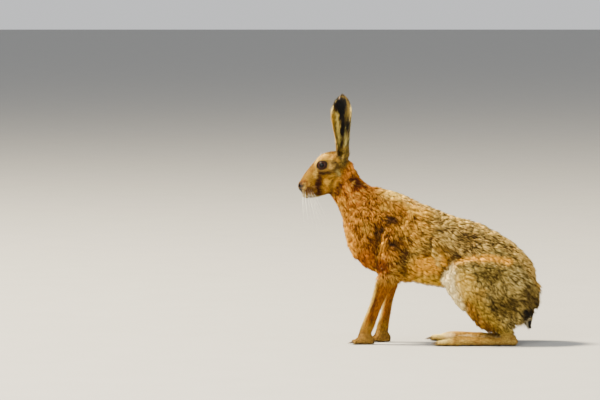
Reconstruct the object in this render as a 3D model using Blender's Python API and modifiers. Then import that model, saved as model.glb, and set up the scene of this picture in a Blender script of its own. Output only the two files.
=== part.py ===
"""A brown hare sitting up on straight forelegs, life size, as a still museum model.

The hare looks along -X and the ground is Z = 0. Its skin is modelled whole, out to the tips of the
coat: lofts and muscles are fused, remeshed and smoothed, and thin cuts then part it into named pieces.
"""

import math

import bmesh
import bpy
import numpy as np
from mathutils import Matrix, Vector
from mathutils.bvhtree import BVHTree

# Driving sizes, in metres
GAP = 0.0003  # room between pieces that meet
VOXEL = 0.0023  # grain of the fused skin
SKIN_TRIANGLES = 5000
LOFT_SIDES = 32
LOFT_STEPS = 4  # rings from one station to the next
CAP_REACH = 0.6  # how far a loft's rounded end stands out, as a share of its half width
CAP_ANGLES = (1.25, 0.85, 0.45)

EYE_CENTRE = Vector((-0.1742, -0.0152, 0.3250))  # left eye, at -Y
EYE_RADIUS = 0.0098
EYE_LOOKS = Vector((-0.20, -1.0, 0.10)).normalized()
LID_THICKNESS = 0.0015
EYE_OPENING = (0.0083, 0.0070)  # half length and half height of the lids' opening

EAR_ROOT = Vector((-0.1378, -0.0118, 0.3170))  # left ear, sunk in the head
EAR_LENGTH = 0.1362  # from the sunk root to the tip
EAR_LEAN_OUT = math.radians(8.5)
EAR_TURN = math.radians(24)  # how far the cup looks forwards from straight out
EAR_WALL = 0.0020
EAR_SET = 0.0085  # the back of the cup stands this far inwards of the ear's own line
EAR_COLUMNS = 12
EAR_TIP_ROUND = 0.006  # how much lower the edges end than the tip
# Height along the ear from 0 to 1, radius of the cup, its half angle in degrees, and its shift ahead
EAR_CUP = (
    (0.00, 0.0100, 160, 0.0),
    (0.16, 0.0104, 152, 0.0),
    (0.30, 0.0102, 138, 0.0),
    (0.42, 0.0114, 120, 0.0),
    (0.53, 0.0142, 102, 0.0),
    (0.66, 0.0178, 88, 0.0),
    (0.78, 0.0200, 76, 0.0),
    (0.88, 0.0196, 62, 0.0008),
    (0.95, 0.0190, 46, 0.0020),
    (1.00, 0.0185, 26, 0.0034),
)

# Stations of each loft: dorsal or front edge x and z, ventral or rear edge x and z, y, half width
TORSO = (
    (-0.088, 0.290, -0.142, 0.239, 0.0, 0.029),
    (-0.070, 0.287, -0.140, 0.221, 0.0, 0.036),
    (-0.051, 0.282, -0.136, 0.199, 0.0, 0.042),
    (-0.024, 0.272, -0.126, 0.166, 0.0, 0.048),
    (0.003, 0.260, -0.095, 0.136, 0.0, 0.052),
    (0.036, 0.246, -0.037, 0.114, 0.0, 0.055),
    (0.072, 0.233, 0.021, 0.103, 0.0, 0.057),
    (0.114, 0.220, 0.076, 0.096, 0.0, 0.058),
    (0.152, 0.200, 0.123, 0.085, 0.0, 0.058),
    (0.186, 0.176, 0.158, 0.072, 0.0, 0.055),
    (0.2105, 0.147, 0.176, 0.063, 0.0, 0.046),
    (0.2165, 0.118, 0.186, 0.060, 0.0, 0.030),
)
NECK = (
    (-0.126, 0.338, -0.166, 0.279, 0.0, 0.022),
    (-0.119, 0.328, -0.161, 0.266, 0.0, 0.0245),
    (-0.110, 0.314, -0.153, 0.254, 0.0, 0.027),
    (-0.099, 0.299, -0.146, 0.243, 0.0, 0.030),
    (-0.081, 0.287, -0.139, 0.221, 0.0, 0.035),
    (-0.062, 0.280, -0.134, 0.203, 0.0, 0.038),
)
HEAD = (
    (-0.2165, 0.2945, -0.2145, 0.2770, 0.0, 0.0075),
    (-0.2138, 0.3005, -0.2088, 0.2694, 0.0, 0.0120),
    (-0.2079, 0.3094, -0.1988, 0.2643, 0.0, 0.0160),
    (-0.1988, 0.3212, -0.1861, 0.2644, 0.0, 0.0190),
    (-0.1897, 0.3331, -0.1734, 0.2679, 0.0, 0.0215),
    (-0.1788, 0.3443, -0.1606, 0.2712, 0.0, 0.0240),
    (-0.1661, 0.3500, -0.1497, 0.2739, 0.0, 0.0262),
    (-0.1515, 0.3516, -0.1388, 0.2776, 0.0, 0.0268),
    (-0.1370, 0.3467, -0.1297, 0.2812, 0.0, 0.0250),
    (-0.1242, 0.3367, -0.1206, 0.2848, 0.0, 0.0220),
)
LEFT_FORELEG = (
    (-0.059, 0.263, -0.026, 0.245, -0.026, 0.014),
    (-0.075, 0.232, -0.026, 0.218, -0.034, 0.018),
    (-0.077, 0.199, -0.028, 0.188, -0.038, 0.020),
    (-0.077, 0.161, -0.028, 0.152, -0.039, 0.020),
    (-0.078, 0.134, -0.031, 0.123, -0.036, 0.017),
    (-0.081, 0.110, -0.046, 0.105, -0.033, 0.013),
    (-0.089, 0.079, -0.062, 0.074, -0.030, 0.0115),
    (-0.099, 0.052, -0.073, 0.046, -0.028, 0.0108),
    (-0.108, 0.030, -0.081, 0.023, -0.027, 0.0110),
    (-0.112, 0.019, -0.084, 0.010, -0.0265, 0.0115),
)
RIGHT_FORELEG = (
    (-0.059, 0.263, -0.026, 0.245, 0.026, 0.014),
    (-0.071, 0.232, -0.022, 0.218, 0.034, 0.018),
    (-0.066, 0.196, -0.019, 0.183, 0.038, 0.020),
    (-0.059, 0.159, -0.019, 0.148, 0.039, 0.019),
    (-0.057, 0.130, -0.028, 0.121, 0.036, 0.015),
    (-0.059, 0.105, -0.035, 0.101, 0.032, 0.012),
    (-0.064, 0.079, -0.043, 0.075, 0.029, 0.0108),
    (-0.070, 0.052, -0.048, 0.048, 0.027, 0.0104),
    (-0.077, 0.030, -0.051, 0.025, 0.026, 0.0106),
    (-0.080, 0.019, -0.053, 0.010, 0.0255, 0.0110),
)
# The rest of the stations are for the right side: the left is their mirror
HAUNCH = (
    (0.0496, 0.141, 0.0487, 0.114, 0.052, 0.012),
    (0.056, 0.1565, 0.053, 0.101, 0.053, 0.018),
    (0.069, 0.162, 0.067, 0.079, 0.052, 0.0225),
    (0.090, 0.164, 0.089, 0.052, 0.050, 0.0265),
    (0.116, 0.163, 0.114, 0.028, 0.048, 0.029),
    (0.145, 0.157, 0.143, 0.023, 0.046, 0.030),
    (0.171, 0.148, 0.172, 0.030, 0.043, 0.0285),
    (0.194, 0.132, 0.198, 0.046, 0.039, 0.025),
    (0.211, 0.112, 0.2116, 0.065, 0.034, 0.018),
)
HOCK = (
    (0.116, 0.057, 0.154, 0.079, 0.052, 0.020),
    (0.131, 0.034, 0.167, 0.046, 0.053, 0.014),
    (0.143, 0.025, 0.172, 0.034, 0.054, 0.0120),
    (0.154, 0.012, 0.178, 0.017, 0.054, 0.0112),
    (0.1600, 0.001, 0.1820, 0.005, 0.054, 0.0110),
)
HIND_FOOT = (
    (0.178, 0.012, 0.178, -0.008, 0.054, 0.0100),
    (0.163, 0.0164, 0.163, -0.008, 0.0545, 0.0115),
    (0.140, 0.0164, 0.140, -0.008, 0.055, 0.0120),
    (0.109, 0.0173, 0.109, -0.008, 0.056, 0.0135),
    (0.080, 0.0195, 0.080, -0.008, 0.057, 0.0150),
    (0.060, 0.0170, 0.060, -0.008, 0.058, 0.0155),
    (0.048, 0.0130, 0.048, -0.008, 0.058, 0.0145),
)
FORE_PAW = (  # x is counted from the wrist, y from the middle of the paw
    (0.026, 0.019, 0.026, -0.005, 0.0, 0.0105),
    (0.013, 0.0225, 0.013, -0.005, 0.0, 0.0120),
    (0.003, 0.0175, 0.003, -0.005, 0.0, 0.0125),
)
TAIL = (
    (0.186, 0.116, 0.2135, 0.106, 0.0, 0.013),
    (0.186, 0.090, 0.2155, 0.084, 0.0, 0.016),
    (0.184, 0.065, 0.2130, 0.063, 0.0, 0.017),
    (0.184, 0.046, 0.2100, 0.049, 0.0, 0.016),
    (0.190, 0.034, 0.2085, 0.039, 0.0, 0.012),
    (0.197, 0.029, 0.2070, 0.032, 0.0, 0.007),
)
# Muscles and pads as ellipsoids: centre, half sizes, and tilt about Y in degrees; both sides
MUSCLES = (
    ((-0.2030, 0.0088, 0.2805), (0.0115, 0.0085, 0.0115), 0),  # whisker pad
    ((-0.2128, 0.0035, 0.2875), (0.0050, 0.0055, 0.0065), 0),  # wing of the nose
    ((-0.2030, 0.0060, 0.2695), (0.0100, 0.0070, 0.0055), 0),  # lower lip and chin
    ((-0.1570, 0.0170, 0.2915), (0.0200, 0.0110, 0.0170), 25),  # cheek
    ((-0.1735, 0.0135, 0.3380), (0.0135, 0.0085, 0.0065), -25),  # brow
    ((-0.1738, 0.0130, 0.3245), (0.0170, 0.0112, 0.0138), 0),  # around the eye
    ((-0.1385, 0.0160, 0.3310), (0.0155, 0.0125, 0.0175), 0),  # ear base
    ((-0.0500, 0.0330, 0.1990), (0.0360, 0.0200, 0.0480), -20),  # shoulder
    ((-0.0920, 0.0200, 0.2120), (0.0360, 0.0230, 0.0420), -35),  # breast
    ((0.0560, 0.0300, 0.1650), (0.0600, 0.0260, 0.0420), 12),  # flank
)

TOES = 4
TOE_FLAT = 0.0008  # how much of a toe's underside the ground trims flat
FORE_TOE = (0.0088, 0.0040, 0.0062)  # half length, half width, half height of a toe
FORE_TOE_SPAN = 0.0185  # across the middles of the outer toes
FORE_TOE_X = -0.0060  # from the wrist
HIND_TOE = (0.0150, 0.0048, 0.0070)
HIND_TOE_SPAN = 0.0225
HIND_TOE_X = 0.0400
TOE_STAGGER = 0.014  # how far the outer toes stand behind the middle of the curve through them all
CLAW_RADIUS = 0.0015
CLAW_DROP = 0.0030
CLAW_ROOT = 0.0045  # how deep a claw starts behind the front of its toe
FORE_CLAW_LENGTH = 0.0085
HIND_CLAW_LENGTH = 0.0095
FORE_WRISTS = ((-0.1105, -0.0265), (-0.0795, 0.0255))  # x and y of the wrists, left then right
HIND_FOOT_Y = 0.058
SIDES = ((-1, 0.0), (1, -0.007))  # the side's sign, and how far its hind foot stands ahead

NOSTRIL = ((-0.2158, 0.0052, 0.2868), (0.0042, 0.0022, 0.0034), -38)
MOUTH_LINE = (  # seen from the side, x and z, from the middle of the lips to the corner
    (-0.2130, 0.2742),
    (-0.2085, 0.2712),
    (-0.2030, 0.2698),
    (-0.1965, 0.2708),
    (-0.1915, 0.2735),
)
LIP_CLEFT = ((-0.2163, 0.2830), (-0.2150, 0.2790), (-0.2128, 0.2745))
GROOVE_RADIUS = 0.0009

# Planes that part the body: a point on each, x and z, and the way it faces
HEAD_CUT = ((-0.1435, 0.3050), (-0.83, 0.42))
NECK_CUT = ((-0.1150, 0.2520), (-0.74, 0.67))
CHEST_CUT = ((-0.0280, 0.1800), (-0.85, 0.52))
LOWER_LEG_CUT = ((0.1000, 0.1050), (-0.785, -0.62))
FRONT_REACH = 0.14  # how far ahead of their planes the head and neck lie
TAIL_FRONT, TAIL_TOP, TAIL_HALF_WIDTH = 0.1985, 0.112, 0.0215
FORELEG_BACK, FORELEG_TOP, FORELEG_INSIDE = -0.016, 0.1215, 0.008
PAW_TOP = 0.024
HIND_FOOT_TOP = 0.0205
HAUNCH_DRUM = ((0.131, 0.096), (0.097, 0.082), 0.0345)  # centre, half sizes, and nearest y
FAR = 0.26  # well past the body on every side

COAT_COLOUR = (0.42, 0.27, 0.13)
BELLY_COLOUR = (0.62, 0.48, 0.26)
LIMB_COLOUR = (0.50, 0.29, 0.11)
EAR_COLOUR = (0.30, 0.23, 0.15)
EYE_COLOUR = (0.12, 0.05, 0.02)
TAIL_COLOUR = (0.05, 0.045, 0.04)


def clear_scene():
    for obj in list(bpy.data.objects):
        bpy.data.objects.remove(obj)
    for name in ("brown_hare", "cutters"):
        collection = bpy.data.collections.new(name)
        bpy.context.scene.collection.children.link(collection)


def material(name, colour, roughness):
    finish = bpy.data.materials.new(name)
    finish.use_nodes = True
    shader = finish.node_tree.nodes["Principled BSDF"]
    shader.inputs["Base Color"].default_value = (*colour, 1)
    shader.inputs["Roughness"].default_value = roughness
    shader.inputs["Metallic"].default_value = 0.0
    finish.diffuse_color = (*colour, 1)
    return finish


def object_from(mesh_maker, name, collection="brown_hare"):
    """A new object whose mesh the maker has filled, with its faces pointing out."""
    made = bmesh.new()
    mesh_maker(made)
    bmesh.ops.recalc_face_normals(made, faces=made.faces)
    mesh = bpy.data.meshes.new(name)
    made.to_mesh(mesh)
    made.free()
    obj = bpy.data.objects.new(name, mesh)
    bpy.data.collections[collection].objects.link(obj)
    return obj


def apply_modifiers(obj):
    bpy.context.view_layer.update()
    evaluated = obj.evaluated_get(bpy.context.evaluated_depsgraph_get())
    mesh = bpy.data.meshes.new_from_object(evaluated)
    obj.modifiers.clear()
    obj.data = mesh


def boolean(obj, other, operation):
    modifier = obj.modifiers.new(operation.lower(), "BOOLEAN")
    modifier.operation = operation
    modifier.solver = "EXACT"
    if isinstance(other, bpy.types.Collection):
        modifier.operand_type = "COLLECTION"
        modifier.collection = other
    else:
        modifier.object = other
    apply_modifiers(obj)


def subtract(obj, cutter):
    boolean(obj, cutter, "DIFFERENCE")
    bpy.data.objects.remove(cutter)


def keep_largest(obj):
    """Drops every scrap but the largest closed surface."""
    mesh = bmesh.new()
    mesh.from_mesh(obj.data)
    bmesh.ops.remove_doubles(mesh, verts=mesh.verts, dist=1e-6)
    left = set(mesh.verts)
    islands = []
    while left:
        stack = [left.pop()]
        island = set(stack)
        while stack:
            for edge in stack.pop().link_edges:
                for vert in edge.verts:
                    if vert in left:
                        left.remove(vert)
                        island.add(vert)
                        stack.append(vert)
        islands.append(island)

    def spread(island):
        places = np.array([vert.co for vert in island])
        return float(np.prod(places.max(0) - places.min(0)))

    largest = max(islands, key=spread)
    bmesh.ops.delete(mesh, geom=[v for v in mesh.verts if v not in largest], context="VERTS")
    mesh.to_mesh(obj.data)
    mesh.free()


def smooth_rows(rows, steps):
    """Rows between the given ones, on a Catmull-Rom spline through every column."""
    points = np.array(rows, float)
    padded = np.vstack([2 * points[0] - points[1], points, 2 * points[-1] - points[-2]])
    found = []
    for i in range(len(points) - 1):
        a, b, c, d = padded[i : i + 4]
        for k in range(steps):
            t = k / steps
            curve = (2 * a - 5 * b + 4 * c - d) * t**2 + (3 * b - a - 3 * c + d) * t**3
            found.append(0.5 * (2 * b + (c - a) * t + curve))
    return np.array([*found, points[-1]])


def loft(name, stations, collection="cutters"):
    """A closed tube whose oval sections span each station's two edges, with rounded ends."""
    rows = smooth_rows(stations, LOFT_STEPS)

    def section(row, squeeze, forward):
        upper = Vector((row[0], row[4], row[1]))
        lower = Vector((row[2], row[4], row[3]))
        middle = (upper + lower) / 2 + forward
        return middle, (upper - lower) / 2 * squeeze, Vector((0, row[5] * squeeze, 0))

    def fill(mesh):
        sections = []
        for end, inner in ((rows[0], rows[1]), (rows[-1], rows[-2])):
            upright = Vector((end[0] - end[2], 0, end[1] - end[3]))
            out = upright.cross(Vector((0, 1, 0))).normalized()
            step = section(end, 1, Vector())[0] - section(inner, 1, Vector())[0]
            out *= math.copysign(CAP_REACH * min(end[5], upright.length / 2), out.dot(step))
            sections.append([section(end, math.cos(a), out * math.sin(a)) for a in CAP_ANGLES])
        rings = [*sections[0], *(section(row, 1, Vector()) for row in rows), *reversed(sections[1])]
        circles = []
        for middle, up, side in rings:
            circle = []
            for k in range(LOFT_SIDES):
                angle = math.tau * k / LOFT_SIDES
                circle.append(mesh.verts.new(middle + up * math.sin(angle) + side * math.cos(angle)))
            circles.append(circle)
        for first, second in zip(circles, circles[1:]):
            for k in range(LOFT_SIDES):
                n = (k + 1) % LOFT_SIDES
                mesh.faces.new((first[k], first[n], second[n], second[k]))
        for circle in (circles[0], circles[-1]):
            mesh.faces.new(circle)

    return object_from(fill, name, collection)


def ellipsoid(name, centre, half_sizes, tilt=0.0, collection="cutters", segments=24, rings=14):
    """A ball stretched to the half sizes, tilted about Y by so many degrees."""

    def fill(mesh):
        bmesh.ops.create_uvsphere(mesh, u_segments=segments, v_segments=rings, radius=1)
        shape = (
            Matrix.Translation(Vector(centre))
            @ Matrix.Rotation(math.radians(tilt), 4, "Y")
            @ Matrix.Diagonal((*half_sizes, 1))
        )
        bmesh.ops.transform(mesh, matrix=shape, verts=mesh.verts)

    return object_from(fill, name, collection)


def mirrored(stations, side, shift=0.0):
    return [(r[0] + shift, r[1], r[2] + shift, r[3], side * r[4], r[5]) for r in stations]


def on_side(point, side):
    return Vector((point[0], side * point[1], point[2]))


def toe_places(wrist_x, middle_y, span):
    """Centres of the four toes: the middle two stand furthest forward."""
    for k in range(TOES):
        across = k / (TOES - 1) - 0.5
        back = TOE_STAGGER * across * across
        yield Vector((wrist_x + back, middle_y + span * across, 0)), across


def build_feet():
    """Paws and toes of all four feet."""
    for side, (wrist_x, middle_y) in zip(("left", "right"), FORE_WRISTS):
        rows = [(r[0] + wrist_x, r[1], r[2] + wrist_x, r[3], middle_y, r[5]) for r in FORE_PAW]
        loft(f"paw_{side}", rows)
        for place, _ in toe_places(wrist_x + FORE_TOE_X, middle_y, FORE_TOE_SPAN):
            place.z = FORE_TOE[2] - TOE_FLAT
            ellipsoid("toe", place, FORE_TOE, -12, segments=16, rings=10)
    for sign, shift in SIDES:
        loft("hind_foot", mirrored(HIND_FOOT, sign, shift))
        middle_y = sign * HIND_FOOT_Y
        for place, _ in toe_places(HIND_TOE_X + shift, middle_y, HIND_TOE_SPAN):
            place.z = HIND_TOE[2] - TOE_FLAT
            ellipsoid("toe", place, HIND_TOE, -10, segments=16, rings=10)


def build_forms():
    """Every loft and muscle of the body, overlapping, in the cutters collection."""
    loft("torso", TORSO)
    loft("neck", NECK)
    loft("head", HEAD)
    loft("tail", TAIL)
    loft("left_foreleg", LEFT_FORELEG)
    loft("right_foreleg", RIGHT_FORELEG)
    for sign, shift in SIDES:
        loft("haunch", mirrored(HAUNCH, sign))
        loft("hock", mirrored(HOCK, sign, shift))
        for centre, half_sizes, tilt in MUSCLES:
            ellipsoid("muscle", on_side(centre, sign), half_sizes, tilt)
    build_feet()


def fused_skin():
    """One smooth closed skin over all the forms."""
    forms = list(bpy.data.collections["cutters"].objects)
    skin = forms.pop(0)
    mesh = bmesh.new()
    mesh.from_mesh(skin.data)
    for form in forms:
        mesh.from_mesh(form.data)
    mesh.to_mesh(skin.data)
    mesh.free()
    for form in forms:
        bpy.data.objects.remove(form)
    bpy.data.collections["cutters"].objects.unlink(skin)
    bpy.data.collections["brown_hare"].objects.link(skin)
    remesh = skin.modifiers.new("fuse", "REMESH")
    remesh.mode = "VOXEL"
    remesh.voxel_size = VOXEL
    apply_modifiers(skin)
    smooth_and_thin(skin)
    return skin


def smooth_and_thin(skin):
    """Blends the joins, more on the body than on the head and feet, and thins the mesh to its budget."""
    soft = skin.vertex_groups.new(name="soft")
    places = np.empty(len(skin.data.vertices) * 3, np.float32)
    skin.data.vertices.foreach_get("co", places)
    for index, (x, _, z) in enumerate(places.reshape(-1, 3)):
        face = min(1.0, max(0.0, (-0.125 - x) / 0.03)) * (z > 0.24)
        foot = min(1.0, max(0.0, (0.035 - z) / 0.015))
        fine = max(face, foot)
        soft.add([index], 1 - 0.75 * fine, "REPLACE")
    smooth = skin.modifiers.new("blend", "SMOOTH")
    smooth.factor = 0.5
    smooth.iterations = 14
    smooth.vertex_group = "soft"
    apply_modifiers(skin)
    thin = skin.modifiers.new("thin", "DECIMATE")
    thin.ratio = SKIN_TRIANGLES / (2 * len(skin.data.polygons))
    apply_modifiers(skin)
    skin.vertex_groups.clear()


def facing(direction):
    """A turn that takes +Z to the direction and keeps +X level."""
    forward = direction.normalized()
    level = Vector((forward.y, -forward.x, 0)).normalized()
    return Matrix((level, forward.cross(level), forward)).transposed().to_4x4()


def eye_ball(name, side, radius, collection="cutters"):
    return ellipsoid(name, on_side(EYE_CENTRE, -side), (radius,) * 3, 0, collection, 20, 13)


def almond(mesh, side):
    """A flaring plug, almond-shaped across, from inside the eyeball out through the lids."""
    sides = 24
    half_length, half_height = EYE_OPENING
    turn = Matrix.Translation(on_side(EYE_CENTRE, -side)) @ facing(on_side(EYE_LOOKS, -side))
    ends = []
    for size, depth in ((0.6, 0.25), (1.35, 1.75)):
        ring = []
        for k in range(sides):
            angle = math.tau * k / sides
            across = size * half_length * math.cos(angle)
            up = size * half_height * math.sin(angle) * (1 - 0.22 * math.cos(angle) ** 4)
            ring.append(mesh.verts.new(turn @ Vector((across, up, EYE_RADIUS * depth))))
        ends.append(ring)
    for k in range(sides):
        n = (k + 1) % sides
        mesh.faces.new((ends[0][k], ends[0][n], ends[1][n], ends[1][k]))
    for ring in ends:
        mesh.faces.new(ring)


def open_eyes(skin):
    """Lids as a bulge over each eyeball, cut open along an almond, with a socket behind."""
    for side in (-1, 1):
        lid = eye_ball("lid", side, EYE_RADIUS + LID_THICKNESS)
        boolean(skin, lid, "UNION")
        bpy.data.objects.remove(lid)
        subtract(skin, eye_ball("socket", side, EYE_RADIUS + GAP))
        subtract(skin, object_from(lambda mesh: almond(mesh, side), "almond", "cutters"))


def tube_along(name, points, radius):
    """A closed round tube through the points, as a mesh in the cutters collection."""
    curve = bpy.data.curves.new(name, "CURVE")
    curve.dimensions = "3D"
    curve.bevel_depth = radius
    curve.bevel_resolution = 1
    curve.use_fill_caps = True
    spline = curve.splines.new("POLY")
    spline.points.add(len(points) - 1)
    for spot, place in zip(spline.points, points):
        spot.co = (*place, 1)
    line = bpy.data.objects.new(name, curve)
    bpy.data.collections["cutters"].objects.link(line)
    bpy.context.view_layer.update()
    mesh = bpy.data.meshes.new_from_object(line.evaluated_get(bpy.context.evaluated_depsgraph_get()))
    bpy.data.objects.remove(line)
    closed = bmesh.new()
    closed.from_mesh(mesh)
    bmesh.ops.remove_doubles(closed, verts=closed.verts, dist=1e-5)
    bmesh.ops.recalc_face_normals(closed, faces=closed.faces)
    closed.to_mesh(mesh)
    closed.free()
    tube = bpy.data.objects.new(name, mesh)
    bpy.data.collections["cutters"].objects.link(tube)
    return tube


def surface_of(obj):
    mesh = bmesh.new()
    mesh.from_mesh(obj.data)
    tree = BVHTree.FromBMesh(mesh)
    mesh.free()
    return tree


def cut_face(skin):
    """Nostrils, the cleft of the upper lip and the line of the mouth."""
    surface = surface_of(skin)
    lips = smooth_rows(MOUTH_LINE, 3)
    mouth = []
    for side in (-1, 1):
        line = []
        for x, z in lips:
            hit = surface.ray_cast(Vector((x, side * 0.05, z)), Vector((0, -side, 0)))[0]
            line.append(hit if hit else Vector((x, 0, z)))
        mouth = [*reversed(line), *mouth] if side < 0 else [*mouth, *line]
    subtract(skin, tube_along("mouth", mouth, GROOVE_RADIUS))
    cleft = []
    for x, z in LIP_CLEFT:
        hit = surface.ray_cast(Vector((x - 0.03, 0, z)), Vector((1, 0, 0)))[0]
        cleft.append(hit)
    subtract(skin, tube_along("cleft", cleft, GROOVE_RADIUS))
    centre, half_sizes, tilt = NOSTRIL
    for side in (-1, 1):
        nostril = ellipsoid("nostril", on_side(centre, side), half_sizes, tilt, segments=14, rings=8)
        subtract(skin, nostril)


def horn(mesh, root, across, length):
    """A claw that tapers and drops towards its tip, fanned out by its place across the foot."""
    sides = 6
    tip = Vector((-length, across * 0.004, -CLAW_DROP))
    rings = []
    for share, size in ((0, 1.1), (0.4, 1.0), (0.75, 0.7)):
        middle = root + Vector((tip.x * share, tip.y * share, tip.z * share * share))
        radius = CLAW_RADIUS * size
        ring = []
        for k in range(sides):
            angle = math.tau * k / sides
            spot = Vector((0, 0.8 * radius * math.cos(angle), radius * math.sin(angle)))
            ring.append(mesh.verts.new(middle + spot))
        rings.append(ring)
    point = mesh.verts.new(root + tip)
    for first, second in zip(rings, rings[1:]):
        for k in range(sides):
            n = (k + 1) % sides
            mesh.faces.new((first[k], first[n], second[n], second[k]))
    for k in range(sides):
        mesh.faces.new((rings[-1][k], rings[-1][(k + 1) % sides], point))
    mesh.faces.new(rings[0])


def add_claws(skin):
    """A short curved claw from the end of each toe, clear of the ground."""
    feet = []
    for x, y in FORE_WRISTS:
        feet.append((x + FORE_TOE_X, y, FORE_TOE, FORE_TOE_SPAN, FORE_CLAW_LENGTH))
    for sign, shift in SIDES:
        feet.append((HIND_TOE_X + shift, sign * HIND_FOOT_Y, HIND_TOE, HIND_TOE_SPAN, HIND_CLAW_LENGTH))
    claws = bpy.data.collections.new("claws")
    bpy.context.scene.collection.children.link(claws)
    for x, y, toe, span, length in feet:
        for place, across in toe_places(x, y, span):
            root = place + Vector((CLAW_ROOT - toe[0], across * 0.002, toe[2] * 0.72))
            object_from(lambda mesh: horn(mesh, root, across, length), "claw", "claws")
    boolean(skin, claws, "UNION")
    for claw in list(claws.objects):
        bpy.data.objects.remove(claw)
    bpy.data.collections.remove(claws)


def box_between(name, low, high, turn=None):
    """A block from low to high, in the frame of the turn if there is one."""

    def fill(mesh):
        bmesh.ops.create_cube(mesh, size=1)
        size = Vector(high) - Vector(low)
        place = Matrix.Translation((Vector(low) + Vector(high)) / 2) @ Matrix.Diagonal((*size, 1))
        bmesh.ops.transform(mesh, matrix=(turn or Matrix()) @ place, verts=mesh.verts)

    return object_from(fill, name, "cutters")


def beyond(cut, grow, reach=0.4):
    """A block from a cut's plane outwards, grown back past the plane by grow."""
    (x, z), (way_x, way_z) = cut
    forward = Vector((way_x, 0, way_z)).normalized()
    up = Vector((0, 1, 0))
    turn = Matrix.Translation((x, 0, z)) @ Matrix((up.cross(forward), up, forward)).transposed().to_4x4()
    return box_between("beyond", (-FAR, -FAR, -grow), (FAR, FAR, reach), turn)


def side_box(side, low, high, grow):
    """A block on one side of the body. Low and high are x, distance from the middle, and z."""
    near, far = sorted((side * (low[1] - grow), side * (high[1] + grow)))
    return box_between("side_box", (low[0] - grow, near, low[2]), (high[0] + grow, far, high[2] + grow))


def part_off(rest, region, name, finish):
    """Cuts the piece inside a region from the rest, with the gap left between them."""
    piece = bpy.data.objects.new(name, rest.data.copy())
    bpy.data.collections["brown_hare"].objects.link(piece)
    inside = region(0.0)
    boolean(piece, inside, "INTERSECT")
    bpy.data.objects.remove(inside)
    keep_largest(piece)
    subtract(rest, region(GAP))
    keep_largest(rest)
    piece.data.materials.clear()
    piece.data.materials.append(finish)
    return piece


def haunch_drum(side, grow):
    """An oval drum over one haunch, from the torso's flank outwards."""
    (x, z), (half_length, half_height), nearest = HAUNCH_DRUM

    def fill(mesh):
        sides = 40
        ends = []
        for y in (nearest - grow, FAR):
            ring = []
            for k in range(sides):
                angle = math.tau * k / sides
                across = (half_length + grow) * math.cos(angle)
                up = (half_height + grow) * math.sin(angle)
                ring.append(mesh.verts.new((x + across, side * y, z + up)))
            ends.append(ring)
        for k in range(sides):
            n = (k + 1) % sides
            mesh.faces.new((ends[0][k], ends[0][n], ends[1][n], ends[1][k]))
        for ring in ends:
            mesh.faces.new(ring)

    return object_from(fill, "haunch_drum", "cutters")


def build_ear(name, side):
    """One ear: an open cup of triangles, given its wall, that narrows to a rolled root."""

    def fill(mesh):
        lean = Matrix.Rotation(EAR_LEAN_OUT, 4, "X") @ Matrix.Rotation(-EAR_TURN, 4, "Z")
        grid = []
        for share, radius, half_angle, ahead in smooth_rows(EAR_CUP, 2):
            tip = EAR_TIP_ROUND * max(0.0, share - 0.8) / 0.2
            line = []
            for k in range(EAR_COLUMNS + 1):
                swing = 2 * k / EAR_COLUMNS - 1
                angle = math.radians(half_angle) * swing
                across = radius * math.sin(angle) - ahead
                inwards = EAR_SET - radius * (1 - math.cos(angle))
                spot = Vector((across, inwards, share * EAR_LENGTH - tip * swing * swing))
                line.append(mesh.verts.new(on_side(EAR_ROOT + lean @ spot, -side)))
            grid.append(line)
        for first, second in zip(grid, grid[1:]):
            for k in range(EAR_COLUMNS):
                mesh.faces.new((first[k], first[k + 1], second[k + 1]))
                mesh.faces.new((first[k], second[k + 1], second[k]))

    ear = object_from(fill, name)
    wall = ear.modifiers.new("wall", "SOLIDIFY")
    wall.thickness = EAR_WALL
    wall.offset = 0
    apply_modifiers(ear)
    return ear


def seat_on(piece, skin):
    """Trims the piece where it would enter the skin, with the gap between them."""
    grown = bpy.data.objects.new("grown", skin.data.copy())
    bpy.data.collections["cutters"].objects.link(grown)
    swell = grown.modifiers.new("swell", "DISPLACE")
    swell.strength = GAP * 1.4
    swell.mid_level = 0
    apply_modifiers(grown)
    subtract(piece, grown)
    keep_largest(piece)


def tail_box(grow):
    half = TAIL_HALF_WIDTH + grow
    return box_between("tail_box", (TAIL_FRONT - grow, -half, -FAR), (FAR, half, TAIL_TOP + grow))


def part_the_body(skin, coat, belly, limb, dark):
    """Every cut, from the ends of the body inwards."""
    part_off(skin, lambda grow: beyond(HEAD_CUT, grow, FRONT_REACH), "head", coat)
    part_off(skin, lambda grow: beyond(NECK_CUT, grow, FRONT_REACH), "neck", coat)
    part_off(skin, tail_box, "tail", dark)
    for name, side in (("left", -1), ("right", 1)):

        def foreleg(grow, side=side):
            return side_box(side, (-FAR, FORELEG_INSIDE, -FAR), (FORELEG_BACK, FAR, FORELEG_TOP), grow)

        def forepaw(grow, side=side):
            return side_box(side, (-FAR, 0, -FAR), (0, FAR, PAW_TOP), grow)

        def hind_foot(grow, side=side):
            return side_box(side, (0, 0, -FAR), (FAR, FAR, HIND_FOOT_TOP), grow)

        leg = part_off(skin, foreleg, f"foreleg_{name}", limb)
        part_off(leg, forepaw, f"forepaw_{name}", limb)
        part_off(skin, hind_foot, f"hind_foot_{name}", limb)
        thigh = part_off(skin, lambda grow: haunch_drum(side, grow), f"thigh_{name}", coat)
        part_off(thigh, lambda grow: beyond(LOWER_LEG_CUT, grow), f"lower_leg_{name}", coat)
    part_off(skin, lambda grow: beyond(CHEST_CUT, grow), "chest", coat)
    skin.name = "loin_and_belly"
    skin.data.materials.clear()
    skin.data.materials.append(belly)


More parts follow.
